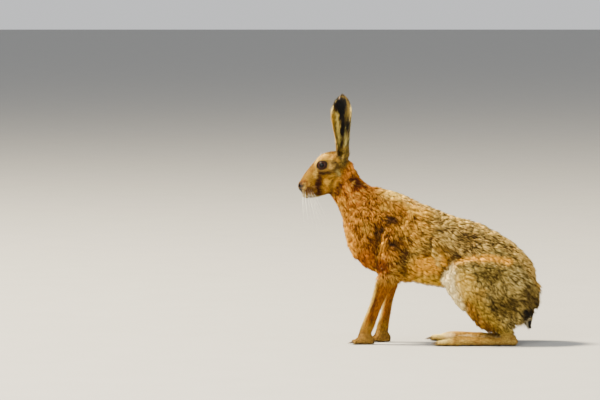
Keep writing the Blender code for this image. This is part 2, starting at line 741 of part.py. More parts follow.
def centre_on_floor(nodes):
    """Moves the nodes together until the whole box stands on the origin."""
    low = Vector((1e9,) * 3)
    high = Vector((-1e9,) * 3)
    for node in nodes:
        for vert in node.data.vertices:
            low = Vector(map(min, low, vert.co))
            high = Vector(map(max, high, vert.co))
    shift = Vector((-(low.x + high.x) / 2, -(low.y + high.y) / 2, -low.z))
    for node in nodes:
        node.data.transform(Matrix.Translation(shift))


def main():
    clear_scene()
    coat = material("coat", COAT_COLOUR, 0.9)
    belly = material("belly_coat", BELLY_COLOUR, 0.9)
    limb = material("limb_coat", LIMB_COLOUR, 0.9)
    ear_skin = material("ear_coat", EAR_COLOUR, 0.85)
    wet = material("eye", EYE_COLOUR, 0.05)
    dark = material("tail_coat", TAIL_COLOUR, 0.9)

    build_forms()
    skin = fused_skin()
    add_claws(skin)
    open_eyes(skin)
    cut_face(skin)
    subtract(skin, box_between("ground", (-FAR, -FAR, -FAR), (FAR, FAR, 0)))
    keep_largest(skin)

    for side, name in ((-1, "ear_left"), (1, "ear_right")):
        ear = build_ear(name, side)
        seat_on(ear, skin)
        ear.data.materials.clear()
        ear.data.materials.append(ear_skin)
    for side, name in ((-1, "eye_left"), (1, "eye_right")):
        eye = eye_ball(name, side, EYE_RADIUS, "brown_hare")
        eye.data.materials.append(wet)

    part_the_body(skin, coat, belly, limb, dark)
    nodes = list(bpy.data.collections["brown_hare"].objects)
    centre_on_floor(nodes)
    for node in nodes:
        node.data.shade_smooth()
        node.data.set_sharp_from_angle(angle=math.radians(45))


main()
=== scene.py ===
"""The looks of a sitting brown hare: hide, coat, eyes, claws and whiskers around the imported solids."""

import math

import bmesh
import bpy
import numpy as np
from mathutils import Matrix, Vector
from mathutils.bvhtree import BVHTree


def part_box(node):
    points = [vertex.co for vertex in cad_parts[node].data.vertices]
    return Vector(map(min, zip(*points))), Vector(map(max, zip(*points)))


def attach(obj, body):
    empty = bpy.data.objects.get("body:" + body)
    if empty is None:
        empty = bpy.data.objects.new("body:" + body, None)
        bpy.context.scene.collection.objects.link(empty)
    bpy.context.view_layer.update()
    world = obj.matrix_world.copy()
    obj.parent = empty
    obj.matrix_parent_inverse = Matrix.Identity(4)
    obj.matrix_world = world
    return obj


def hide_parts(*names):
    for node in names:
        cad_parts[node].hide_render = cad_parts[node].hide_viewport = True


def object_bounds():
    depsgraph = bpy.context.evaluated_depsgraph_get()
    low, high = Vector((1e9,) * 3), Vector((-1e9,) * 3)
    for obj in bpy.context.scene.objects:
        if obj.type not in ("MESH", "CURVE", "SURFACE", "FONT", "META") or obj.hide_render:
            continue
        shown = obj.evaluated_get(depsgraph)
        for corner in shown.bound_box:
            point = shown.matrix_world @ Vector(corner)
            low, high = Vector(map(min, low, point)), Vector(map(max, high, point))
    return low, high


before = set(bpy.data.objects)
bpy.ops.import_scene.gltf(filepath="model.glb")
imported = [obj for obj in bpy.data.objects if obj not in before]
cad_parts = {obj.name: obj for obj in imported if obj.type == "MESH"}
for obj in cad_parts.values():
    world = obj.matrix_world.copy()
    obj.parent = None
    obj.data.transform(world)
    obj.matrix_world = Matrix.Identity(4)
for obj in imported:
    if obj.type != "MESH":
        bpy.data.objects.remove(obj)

# The stand: a pale studio floor, a long lens level with the hare's flank, and soft light whose warm key
# comes from high on the left and behind, as the sun does in the photograph.
cad_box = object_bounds()
lowest, highest = (Vector(corner) for corner in cad_box)
PIXEL = 0.00182  # metres of hare to a pixel of the photograph
NOSE_PIXEL = 297.4
EAR_TIP_PIXEL = 94.6
PHOTO_SIZE = (600, 400)
CAMERA_AWAY = 8.0
CAMERA_UP = math.radians(3.0)
CAMERA_FAR = 50  # cuts the floor off, so that the world shows as a paler band along the top of the view
FLOOR_HALF = 150


def link_object(name, data):
    obj = bpy.data.objects.new(name, data)
    bpy.context.scene.collection.objects.link(obj)
    return obj


def finished_mesh(name, made):
    """The mesh of a bmesh, which is freed."""
    mesh = bpy.data.meshes.new(name)
    made.to_mesh(mesh)
    made.free()
    return mesh


def frame_the_hare():
    view_middle = Vector((
        lowest.x + (PHOTO_SIZE[0] / 2 - NOSE_PIXEL) * PIXEL,
        0,
        highest.z - (PHOTO_SIZE[1] / 2 - EAR_TIP_PIXEL) * PIXEL,
    ))
    lens = bpy.data.cameras.new("long_lens")
    lens.lens = lens.sensor_width * CAMERA_AWAY / (PHOTO_SIZE[0] * PIXEL)
    lens.clip_end = CAMERA_FAR
    camera = link_object("camera", lens)
    back_off = Vector((0, -math.cos(CAMERA_UP), math.sin(CAMERA_UP)))
    camera.location = view_middle + back_off * CAMERA_AWAY
    camera.rotation_euler = (-back_off).to_track_quat("-Z", "Y").to_euler()
    bpy.context.scene.camera = camera


def lamp(name, place, aim, size, watts, colour):
    light = bpy.data.lights.new(name, "AREA")
    light.size = size
    light.energy = watts
    light.color = colour
    obj = link_object(name, light)
    obj.location = place
    obj.rotation_euler = (Vector(aim) - Vector(place)).to_track_quat("-Z", "Y").to_euler()


def srgb(red, green, blue):
    """A colour given as a screen shows it, 0 to 255, in the linear values that shaders use."""
    shares = [value / 255 for value in (red, green, blue)]
    return tuple(s / 12.92 if s <= 0.04045 else ((s + 0.055) / 1.055) ** 2.4 for s in shares)


class Value:
    """A node's output that plain arithmetic works on."""

    def __init__(self, wires, socket):
        self.wires = wires
        self.socket = socket

    def __add__(self, other):
        return self.wires.maths("ADD", self, other)

    def __sub__(self, other):
        return self.wires.maths("SUBTRACT", self, other)

    def __rsub__(self, other):
        return self.wires.maths("SUBTRACT", other, self)

    def __mul__(self, other):
        return self.wires.maths("MULTIPLY", self, other)

    def __truediv__(self, other):
        return self.wires.maths("DIVIDE", self, other)

    def __rtruediv__(self, other):
        return self.wires.maths("DIVIDE", other, self)

    __radd__ = __add__
    __rmul__ = __mul__


class Wires:
    """Adds nodes to a tree, and links or sets their sockets."""

    def __init__(self, tree):
        self.tree = tree

    def node(self, kind, settings=None, sockets=None, output=0):
        added = self.tree.nodes.new(kind)
        for name, value in (settings or {}).items():
            setattr(added, name, value)
        for name, value in (sockets or {}).items():
            self.feed(added.inputs[name], value)
        return Value(self, added.outputs[output])

    def feed(self, socket, value):
        if isinstance(value, Value):
            self.tree.links.new(value.socket, socket)
        else:
            socket.default_value = value

    def maths(self, operation, first, second=0.0):
        return self.node("ShaderNodeMath", {"operation": operation}, {0: first, 1: second})

    def vectors(self, operation, first, second=(0, 0, 0)):
        return self.node("ShaderNodeVectorMath", {"operation": operation}, {0: first, 1: second})

    def between(self, value, start, end):
        """0 up to the start, 1 from the end, and smooth from one to the other."""
        sockets = {"Value": value, "From Min": start, "From Max": end}
        return self.node("ShaderNodeMapRange", {"interpolation_type": "SMOOTHSTEP"}, sockets)

    def mix(self, share, first, second, blend="MIX"):
        settings = {"data_type": "RGBA", "blend_type": blend}
        return self.node("ShaderNodeMix", settings, {0: share, 6: first, 7: second}, output=2)

    def attribute(self, name, output="Fac"):
        return self.node("ShaderNodeAttribute", {"attribute_name": name}, output=output)

    def noise(self, place, scale, detail=2.0, output=0):
        sockets = {"Vector": place, "Scale": scale, "Detail": detail}
        return self.node("ShaderNodeTexNoise", None, sockets, output)


def finish_named(name, roughness, specular=0.3):
    """A material with its wires and its Principled shader."""
    material = bpy.data.materials.new(name)
    material.use_nodes = True
    shader = material.node_tree.nodes["Principled BSDF"]
    shader.inputs["Roughness"].default_value = roughness
    shader.inputs["Specular IOR Level"].default_value = specular
    return material, Wires(material.node_tree), shader


def build_floor():
    made = bmesh.new()
    bmesh.ops.create_grid(made, x_segments=1, y_segments=1, size=FLOOR_HALF)
    mesh = finished_mesh("studio_floor", made)
    floor = link_object("studio_floor", mesh)
    material, wires, shader = finish_named("floor_paint", 0.8)
    grain = wires.noise(wires.node("ShaderNodeTexCoord", output="Object"), 9)
    pale = wires.mix(grain, (*srgb(138, 138, 136), 1), (*srgb(144, 144, 142), 1))
    wires.feed(shader.inputs["Base Color"], pale)
    mesh.materials.append(material)


frame_the_hare()
build_floor()
lamp("key", (-4.4, 0.6, 6.3), (0, 0, 0.2), 1.5, 4900, (1.0, 0.86, 0.62))
lamp("front_fill", (-1.5, -3.2, 1.9), (0, 0, 0.2), 2.0, 210, (1.0, 0.95, 0.86))
lamp("right_fill", (2.6, -1.8, 1.7), (0, 0, 0.2), 1.8, 60, (1.0, 0.97, 0.92))
world = bpy.data.worlds.new("studio")
bpy.context.scene.world = world
world.use_nodes = True
world.node_tree.nodes["Background"].inputs["Color"].default_value = (0.97, 0.98, 1.0, 1)
world.node_tree.nodes["Background"].inputs["Strength"].default_value = 0.8

# The hide: one closed skin over the whole animal, ears and all. It is fused from the solids, drawn in
# by the depth of the coat, and carries each place's markings, with painted light and shade among them,
# and the length and lie of its fur.
HIDE_GRAIN = 0.0011
HIDE_TRIANGLES = 150000
OVERLAP = 0.0003  # closes the thin cuts between the solids
ORIGIN_PIXEL = (418.25, 343.5)  # where the photograph shows x 0 and the ground
EYE = np.array((-0.1742, -0.0152, 0.3250))  # the left one, before the solids were centred
EYE_LOOKS = np.array((-0.195, -0.976, 0.098))
LIDS = (0.0086, 0.0068)  # half length and half height of their opening
LIDS_TILT = math.radians(14)  # the front corner is lower
SETTLED = sum(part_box("eye_left"), Vector()).x / 2 - EYE[0]  # how far the solids moved to be centred
EARS_FROM = 0.33  # all of the ears is higher
DRAW_STEPS = 3
LEAST_DEPTH = 0.05  # of the coat over the hide, in millimetres
LOWEST_SKIN = 0.0004
flesh = sorted(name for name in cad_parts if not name.startswith("eye"))


def fused_flesh():
    """One mesh over all the solids of flesh, with the cuts between them closed."""
    gathered = bmesh.new()
    for name in flesh:
        solid = bmesh.new()
        solid.from_mesh(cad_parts[name].data)
        bmesh.ops.remove_doubles(solid, verts=solid.verts, dist=1e-5)
        solid.normal_update()
        for vert in solid.verts:
            vert.co += vert.normal * OVERLAP
        grown = finished_mesh("grown", solid)
        gathered.from_mesh(grown)
        bpy.data.meshes.remove(grown)
    return link_object("hide", finished_mesh("hide", gathered))


def apply_modifier(obj, kind, **settings):
    modifier = obj.modifiers.new(kind.lower(), kind)
    for name, value in settings.items():
        setattr(modifier, name, value)
    bpy.context.view_layer.update()
    mesh = bpy.data.meshes.new_from_object(obj.evaluated_get(bpy.context.evaluated_depsgraph_get()))
    obj.modifiers.clear()
    obj.data = mesh


def read_vectors(items, name):
    flat = np.empty(len(items) * 3, np.float32)
    items.foreach_get(name, flat)
    return flat.reshape(-1, 3).astype(float)


def edge_ends(mesh):
    flat = np.empty(len(mesh.edges) * 2, np.int32)
    mesh.edges.foreach_get("vertices", flat)
    return flat.reshape(-1, 2)


def averaged(values, ends, rounds):
    """The values with each vertex pulled to the mean of its neighbours, so many times over."""
    first, second = ends[:, 0], ends[:, 1]
    count = len(values)
    neighbours = np.bincount(first, minlength=count) + np.bincount(second, minlength=count)
    for _ in range(rounds):
        columns = []
        for column in values.T:
            total = np.bincount(first, column[second], count) + np.bincount(second, column[first], count)
            columns.append(0.5 * column + 0.5 * total / np.maximum(neighbours, 1))
        values = np.array(columns).T
    return values


def rise(value, start, end):
    """0 up to the start, 1 from the end, and smooth between."""
    share = np.clip((value - start) / (end - start), 0, 1)
    return share * share * (3 - 2 * share)


def unit(vectors):
    return vectors / np.maximum(np.linalg.norm(vectors, axis=-1, keepdims=True), 1e-9)


def regions(p):
    """How far each point belongs to each part of the body, from 0 to 1, adding up to 1."""
    x, y, z = p[:, 0], np.abs(p[:, 1]), p[:, 2]
    left_over = np.ones(len(p))
    found = {}

    def claim(name, mask):
        nonlocal left_over
        found[name] = left_over * mask
        left_over = left_over * (1 - mask)

    claim("ear", rise(z, 0.349, 0.357))
    head = (x + 0.1435) * -0.892 + (z - 0.3050) * 0.452
    claim("muzzle", rise(head, -0.004, 0.004) * rise(x, -0.184, -0.202))
    claim("head", rise(head, -0.006, 0.006))
    claim("neck", rise((x + 0.1150) * -0.741 + (z - 0.2520) * 0.671, -0.014, 0.014))
    front = rise(x, 0.004, -0.012)
    claim("paw", front * rise(z, 0.032, 0.020))
    claim("foreleg", front * rise(z, 0.135, 0.100) * rise(x, -0.012, -0.030))
    claim("foot", rise(z, 0.028, 0.019) * rise(x, -0.01, 0.01))
    claim("tail", rise(x, 0.192, 0.200) * rise(y, 0.026, 0.019) * rise(z, 0.094, 0.080))
    drum = np.hypot((x - 0.131) / 0.097, (z - 0.096) / 0.082)
    haunch = rise(drum, 1.06, 0.94) * rise(y, 0.030, 0.038)
    shank = (x - 0.100) * -0.785 + (z - 0.105) * -0.620
    claim("shank", haunch * rise(shank, -0.010, 0.012))
    claim("thigh", haunch)
    claim("chest", rise((x + 0.0280) * -0.853 + (z - 0.1800) * 0.522, -0.02, 0.02))
    claim("loin", np.ones(len(p)))
    return found


def beside_ears(places):
    """1 on the ears' own walls, down to where they leave the head, and 0 a few millimetres off them."""
    trees = []
    for name in ("ear_left", "ear_right"):
        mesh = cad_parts[name].data
        corners = [vert.co for vert in mesh.vertices]
        trees.append(BVHTree.FromPolygons(corners, [tuple(face.vertices) for face in mesh.polygons]))
    away = np.ones(len(places))
    for k in np.flatnonzero(places[:, 2] > EARS_FROM):
        away[k] = min(tree.find_nearest(Vector(places[k]))[3] for tree in trees)
    return rise(away, 0.0035, 0.0010)


def give_to_ears(found, walls):
    """Counts the foot of each ear's wall as ear."""
    for name in ("head", "neck"):
        found["ear"] = found["ear"] + found[name] * walls
        found[name] = found[name] * (1 - walls)


# Each part's coat: depth over the skin, length and width of a tuft and how far the flesh below bulges,
# in millimetres, and tufts to a square centimetre
COATS = {
    "ear": (0.5, 4.2, 0.44, 0.0, 88),
    "muzzle": (1.0, 2.8, 0.38, 0.0, 300),
    "head": (2.8, 6.2, 0.50, 0.3, 185),
    "neck": (6.0, 9.5, 0.72, 2.0, 96),
    "paw": (1.5, 3.6, 0.50, 0.0, 165),
    "foreleg": (2.6, 6.6, 0.62, 0.3, 115),
    "foot": (1.7, 4.4, 0.58, 0.0, 105),
    "tail": (3.6, 8.5, 0.90, 0.0, 130),
    "shank": (5.0, 11.0, 1.0, 1.0, 60),
    "thigh": (7.5, 13.0, 1.05, 1.1, 58),
    "chest": (7.5, 13.0, 1.1, 2.9, 54),
    "loin": (8.0, 15.5, 1.2, 3.0, 47),
}
# Which way the fur lies on each part: along x, outwards from the spine, and up
LIES = {
    "ear": (0.05, 0.0, 1.0),
    "muzzle": (0.9, 0.25, 0.2),
    "head": (0.95, 0.0, -0.05),
    "neck": (0.60, 0.05, -0.80),
    "paw": (-1.0, 0.0, -0.6),
    "foreleg": (-0.2, 0.0, -1.0),
    "foot": (-1.0, 0.0, -0.15),
    "tail": (0.55, 0.25, -0.75),
    "shank": (0.60, 0.0, -0.85),
    "thigh": (0.75, 0.0, -0.70),
    "chest": (0.40, 0.05, -0.90),
    "loin": (0.92, 0.10, -0.45),
}
# Folds where parts of the body meet, in the photograph's pixels: the line, its half width, and its depth
# in millimetres
FOLDS = (
    (((352, 178), (340, 188), (332, 193), (328, 198)), 3.5, 1.6),
    (((381, 226), (375, 242), (375, 256), (380, 268)), 4.0, 1.8),
    (((396, 212), (404, 230), (404, 250), (398, 270)), 4.5, 1.6),
    (((446, 266), (451, 257), (462, 252.5), (480, 251), (500, 252), (516, 259), (528, 272)), 4.5, 2.6),
    (((424, 222), (428, 240), (426, 252)), 3.5, 1.2),
    (((502, 333), (508, 326), (518, 318), (522, 306)), 4.0, 1.6),
)
# More depths in millimetres: the creases between the toes, before and after the depths are evened out, the
# top of the paws, the dip in the nape, and how far the front edge of the knee stands out
CREASE_DEPTH, CREASE_EDGE, PAW_DEPTH, NAPE_DEPTH, KNEE_RISE = 1.6, 1.9, 1.4, 2.6, 4.2
SHIN = ((446, 284), (449, 296), (455, 307))


def blended(found, table, column):
    return sum(found[name] * row[column] for name, row in table.items())


def photo_view(p):
    """Where the photograph shows each point, in pixels, as seen from the point's own side."""
    lower = math.tan(CAMERA_UP) * np.abs(p[:, 1])
    return np.stack([ORIGIN_PIXEL[0] + p[:, 0] / PIXEL, ORIGIN_PIXEL[1] - (p[:, 2] - lower) / PIXEL], 1)


def spot(seen, x, y, half_width, half_height, lean=0.0, soft=0.5):
    """A soft oval: 1 in the middle, and 0 outside. A positive lean lifts its right end."""
    c, s = math.cos(math.radians(lean)), math.sin(math.radians(lean))
    right, up = seen[:, 0] - x, y - seen[:, 1]
    reach = np.hypot((right * c + up * s) / half_width, (up * c - right * s) / half_height)
    return rise(reach, 1.0, 1.0 - soft)


def stripe(seen, places, half_width):
    """A soft stripe along a line."""
    nearest = np.full(len(seen), 1e9)
    for start, end in zip(places, places[1:]):
        a, b = np.array(start, float), np.array(end, float)
        share = np.clip((seen - a) @ (b - a) / ((b - a) @ (b - a)), 0, 1)
        nearest = np.minimum(nearest, np.linalg.norm(seen - a - share[:, None] * (b - a), axis=1))
    return rise(nearest, half_width, half_width * 0.3)


def bulges(p, size, seed):
    """Soft random lumps of about this size, from -1 to 1 for the most part."""
    rng = np.random.default_rng(seed)
    ways = unit(rng.normal(size=(24, 3))) * math.tau / size * rng.uniform(0.6, 1.3, (24, 1))
    return np.sin(p @ ways.T + rng.uniform(0, math.tau, 24)).sum(1) / math.sqrt(12) / 1.4


def furrows(p, size, seed, width):
    """1 along the narrow winding furrows between round lumps of about this size, and 0 on the lumps."""
    return np.exp(-((bulges(p, size, seed) / width) ** 2))


def before_eye(p):
    """Each point from the eye on its own side: along the lids to their front corner, up, and outwards."""
    q = np.stack([p[:, 0], -np.abs(p[:, 1]), p[:, 2]], 1) - EYE
    ahead = q @ EYE_LOOKS
    level = unit(np.array((-1.0, 0, 0)) - EYE_LOOKS * -EYE_LOOKS[0])
    up = unit(np.cross(level, EYE_LOOKS))
    up *= np.sign(up[2])
    c, s = math.cos(LIDS_TILT), math.sin(LIDS_TILT)
    return q @ (level * c - up * s), q @ (up * c + level * s), ahead


def lid_reach(p):
    """How far each point is from the middle of the eye, where 1 is the edge of the lids' opening."""
    along, up, ahead = before_eye(p)
    reach = np.hypot(along / LIDS[0], up / LIDS[1])
    return np.where(ahead > 0.001, reach, 9.0)


def draw_in(obj):
    """Moves the skin in from the tips of the coat to the coat's roots."""
    mesh = obj.data
    placed = read_vectors(mesh.vertices, "co")
    p = placed - (SETTLED, 0, 0)
    ends = edge_ends(mesh)
    normals = unit(averaged(read_vectors(mesh.vertices, "normal"), ends, 6))
    found = regions(p)
    give_to_ears(found, beside_ears(placed))
    seen = photo_view(p)
    depth = blended(found, COATS, 0)
    flank = rise(np.abs(normals[:, 1]), 0.35, 0.8)
    lumpy = 0.55 + 0.45 * spot(seen, 405, 236, 50, 44, soft=0.6)
    cut = furrows(p, 0.040, 5, 0.34) + 0.5 * furrows(p, 0.021, 6, 0.30)
    depth += blended(found, COATS, 3) * cut * lumpy * flank
    depth += CREASE_DEPTH * toe_creases(p, normals)
    depth += PAW_DEPTH * found["paw"] * rise(p[:, 2], 0.012, 0.024)
    depth += NAPE_DEPTH * spot(seen, 355, 165.5, 7, 8, soft=0.9) * found["neck"]
    depth -= KNEE_RISE * stripe(seen, SHIN, 10) * (found["thigh"] + found["shank"])
    depth += (found["foot"] + found["paw"]) * (0.35 + 0.45 * bulges(p, 0.022, 16))
    body = 1 - found["ear"] - found["paw"] - found["foot"]
    for line, half_width, deep in FOLDS:
        depth += deep * stripe(seen, line, half_width * 1.6) * body * rise(np.abs(normals[:, 1]), 0.1, 0.4)
    depth *= 0.04 + 0.96 * rise(lid_reach(p), 1.15, 2.0)
    depth = averaged(depth[:, None], ends, 10)
    depth = depth + CREASE_EDGE * averaged(toe_creases(p, normals)[:, None], ends, 2)
    step = (np.maximum(depth, LEAST_DEPTH) / 1000 + OVERLAP * 0.8) / DRAW_STEPS
    for _ in range(DRAW_STEPS):
        normals = unit(averaged(read_vectors(mesh.vertices, "normal"), ends, 6))
        placed -= normals * step
        mesh.vertices.foreach_set("co", placed.astype(np.float32).ravel())
        mesh.update()
    placed = trim_claws(open_lids(placed))
    placed = round_heels(placed)
    placed[:, 2] = np.maximum(placed[:, 2], LOWEST_SKIN)
    mesh.vertices.foreach_set("co", placed.astype(np.float32).ravel())
    mesh.update()


def open_lids(placed):
    """Slides the edges of the lids over the eyeball until the opening has its full size."""
    p = placed - (SETTLED, 0, 0)
    reach = lid_reach(p)
    along, up, _ = before_eye(p)
    upright = up * up / (along * along + up * up + 1e-12)
    slid = 1.7 - (1.7 - reach) * (0.80 + 0.24 * upright)
    wider = np.where(reach < 1.7, slid / np.maximum(reach, 0.3), 1.0)
    centre = np.where(p[:, 1:2] < 0, EYE, EYE * (1, -1, 1))
    looks = np.where(p[:, 1:2] < 0, EYE_LOOKS, EYE_LOOKS * (1, -1, 1))
    arm = p - centre
    ahead = (arm * looks).sum(1)[:, None] * looks
    moved = unit(ahead + (arm - ahead) * wider[:, None]) * np.linalg.norm(arm, axis=1)[:, None]
    return np.where((wider != 1)[:, None], centre + moved + (SETTLED, 0, 0), placed)


# The feet: x and y of the middle of the toes, span of the toes, and half length and half height of a toe
FEET = (
    (-0.1165, -0.0265, 0.0185, 0.0088, 0.0062),
    (-0.0855, 0.0255, 0.0185, 0.0088, 0.0062),
    (0.0400, -0.058, 0.0225, 0.0150, 0.0070),
    (0.0330, 0.058, 0.0225, 0.0150, 0.0070),
)
TOE_STAGGER = 0.014  # how far the outer toes stand behind the middle of the curve through them all
TOE_HEIGHT = 0.03  # all toes are lower
TOE_REACH = 0.03  # how far from their middle, along x, a foot's toes are looked for
CLAW_TRIM = 0.0008  # how far behind the tips of the toes the solids' claws end up
HEEL_X = 0.1800  # the back of the heels
HEEL_ROUND = 0.012


def across_foot(p, x, y, span):
    """-0.5 to 0.5 across a foot, far outside that for points off it, and where its toes are centred."""
    across = np.where(np.abs(p[:, 0] - x) < TOE_REACH, (p[:, 1] - y) / span, 9.0)
    return across, x + TOE_STAGGER * np.minimum(across * across, 0.4)


def toe_creases(p, normals):
    """1 along the creases between the toes, and 0 elsewhere."""
    creased = np.zeros(len(p))
    for x, y, span, half_length, _ in FEET:
        across, toe_x = across_foot(p, x, y, span)
        crease = rise(np.abs(across * 3 - np.round(across * 3)), 0.30, 0.05) * (np.abs(across) < 0.45)
        back = rise(p[:, 0], toe_x + half_length, toe_x + half_length * 0.3)
        creased = np.maximum(creased, crease * back)
    return creased * rise(normals[:, 2], -0.5, 0.0) * (p[:, 2] < TOE_HEIGHT)


def toe_tips(p):
    """1 at the front of each toe, where the fur is short about the claw, and 0 elsewhere."""
    tips = np.zeros(len(p))
    for x, y, span, half_length, _ in FEET:
        across, toe_x = across_foot(p, x, y, span)
        tips = np.maximum(tips, (np.abs(across) < 0.8) * rise(p[:, 0], toe_x, toe_x - half_length * 0.7))
    return tips * (p[:, 2] < TOE_HEIGHT)


def round_heels(placed):
    """Rounds off the lower corner at the back of each hind foot."""
    corner = placed[:, (0, 2)] - (HEEL_X - HEEL_ROUND + SETTLED, HEEL_ROUND)
    corner = np.stack([np.maximum(corner[:, 0], 0), np.minimum(corner[:, 1], 0)], 1)
    over = np.maximum(np.linalg.norm(corner, axis=1) - HEEL_ROUND, 0)[:, None]
    placed[:, (0, 2)] -= unit(corner) * over * (placed[:, 2:] < HEEL_ROUND)
    return placed


def trim_claws(placed):
    """Pulls the solids' own claws back into the toes, where horn ones take their place."""
    for x, y, span, half_length, _ in FEET:
        across, toe_x = across_foot(placed - (SETTLED, 0, 0), x, y, span)
        on_foot = (np.abs(across) < 0.75) & (placed[:, 2] < 0.02)
        front = toe_x - half_length + CLAW_TRIM + SETTLED
        placed[:, 0] = np.where(on_foot, np.maximum(placed[:, 0], front), placed[:, 0])
    return placed


def fur_tone(red, green, blue):
    """A screen colour as the hair's own. The warm key lamp does the rest, and vivid ones get less blue."""
    colour = np.array(srgb(red, green, blue))
    vivid = rise(1 - colour.min() / colour.max(), 0.3, 0.95)
    return colour * (0.98, 0.95 + 0.08 * vivid, 0.86 - 0.35 * vivid)


# Colours of each part: the pale hairs, the dark hairs, and the share of dark ones
COLOURS = {
    "ear": ((150, 122, 72), (70, 50, 26), 0.36),
    "muzzle": ((160, 113, 40), (94, 56, 16), 0.34),
    "head": ((176, 128, 42), (86, 54, 18), 0.35),
    "neck": ((216, 136, 52), (124, 60, 18), 0.27),
    "paw": ((164, 122, 64), (88, 56, 24), 0.36),
    "foreleg": ((176, 108, 28), (100, 50, 9), 0.36),
    "foot": ((218, 190, 124), (136, 102, 52), 0.36),
    "tail": ((34, 28, 22), (14, 11, 9), 0.5),
    "shank": ((180, 144, 68), (100, 72, 24), 0.34),
    "thigh": ((190, 164, 112), (80, 60, 30), 0.42),
    "chest": ((198, 134, 58), (100, 52, 17), 0.37),
    "loin": ((196, 154, 88), (84, 54, 24), 0.42),
}


def markings(p, normals, hollow):
    """The colour of the pale hairs and of the dark hairs at each point, and the share of dark hairs, with
    painted highlights and painted shade among the marks, and painted shade in the hollows of the body.
    """
    found = regions(p)
    ragged = np.stack([bulges(p, 0.007, 7) + bulges(p, 0.003, 8), bulges(p, 0.007, 9)], 1)
    seen = photo_view(p) + 0.7 * ragged
    pale, dark = (
        sum(np.outer(found[name], fur_tone(*row[k])) for name, row in COLOURS.items()) for k in (0, 1)
    )
    share = blended(found, COLOURS, 2)
    marks = (
        *body_marks(p, normals, seen, found),
        *leg_marks(p, normals, found),
        *head_marks(p, normals, seen, found["head"] + found["muzzle"]),
        *ear_marks(p, normals, seen, found),
    )
    for mask, shape, pale_colour, dark_colour, dark_share, *strength in marks:
        mask = math.prod(strength) * mask
        if shape:
            mask = mask * (stripe if isinstance(shape[0], tuple) else spot)(seen, *shape)
        for tone, colour in ((pale, pale_colour), (dark, dark_colour)):
            if colour:
                tone += mask[:, None] * (fur_tone(*colour) - tone)
        share = share + mask * (dark_share - share)
    # Painted shade: the coat darkens in the hollows of the body, where shade falls, and has more dark hairs
    # there as the underfur shows.
    body = found["chest"] + found["loin"] + found["neck"] + found["thigh"] + found["shank"]
    shaded_gap = rise(hollow, 0.0001, 0.0009) * body
    shaded_gap = shaded_gap * (1 - 0.75 * (found["thigh"] + found["shank"]))
    shade = (1 - 0.45 * shaded_gap)[:, None]
    return pale * shade, dark * shade, share + shaded_gap * 0.5 * (0.9 - share)


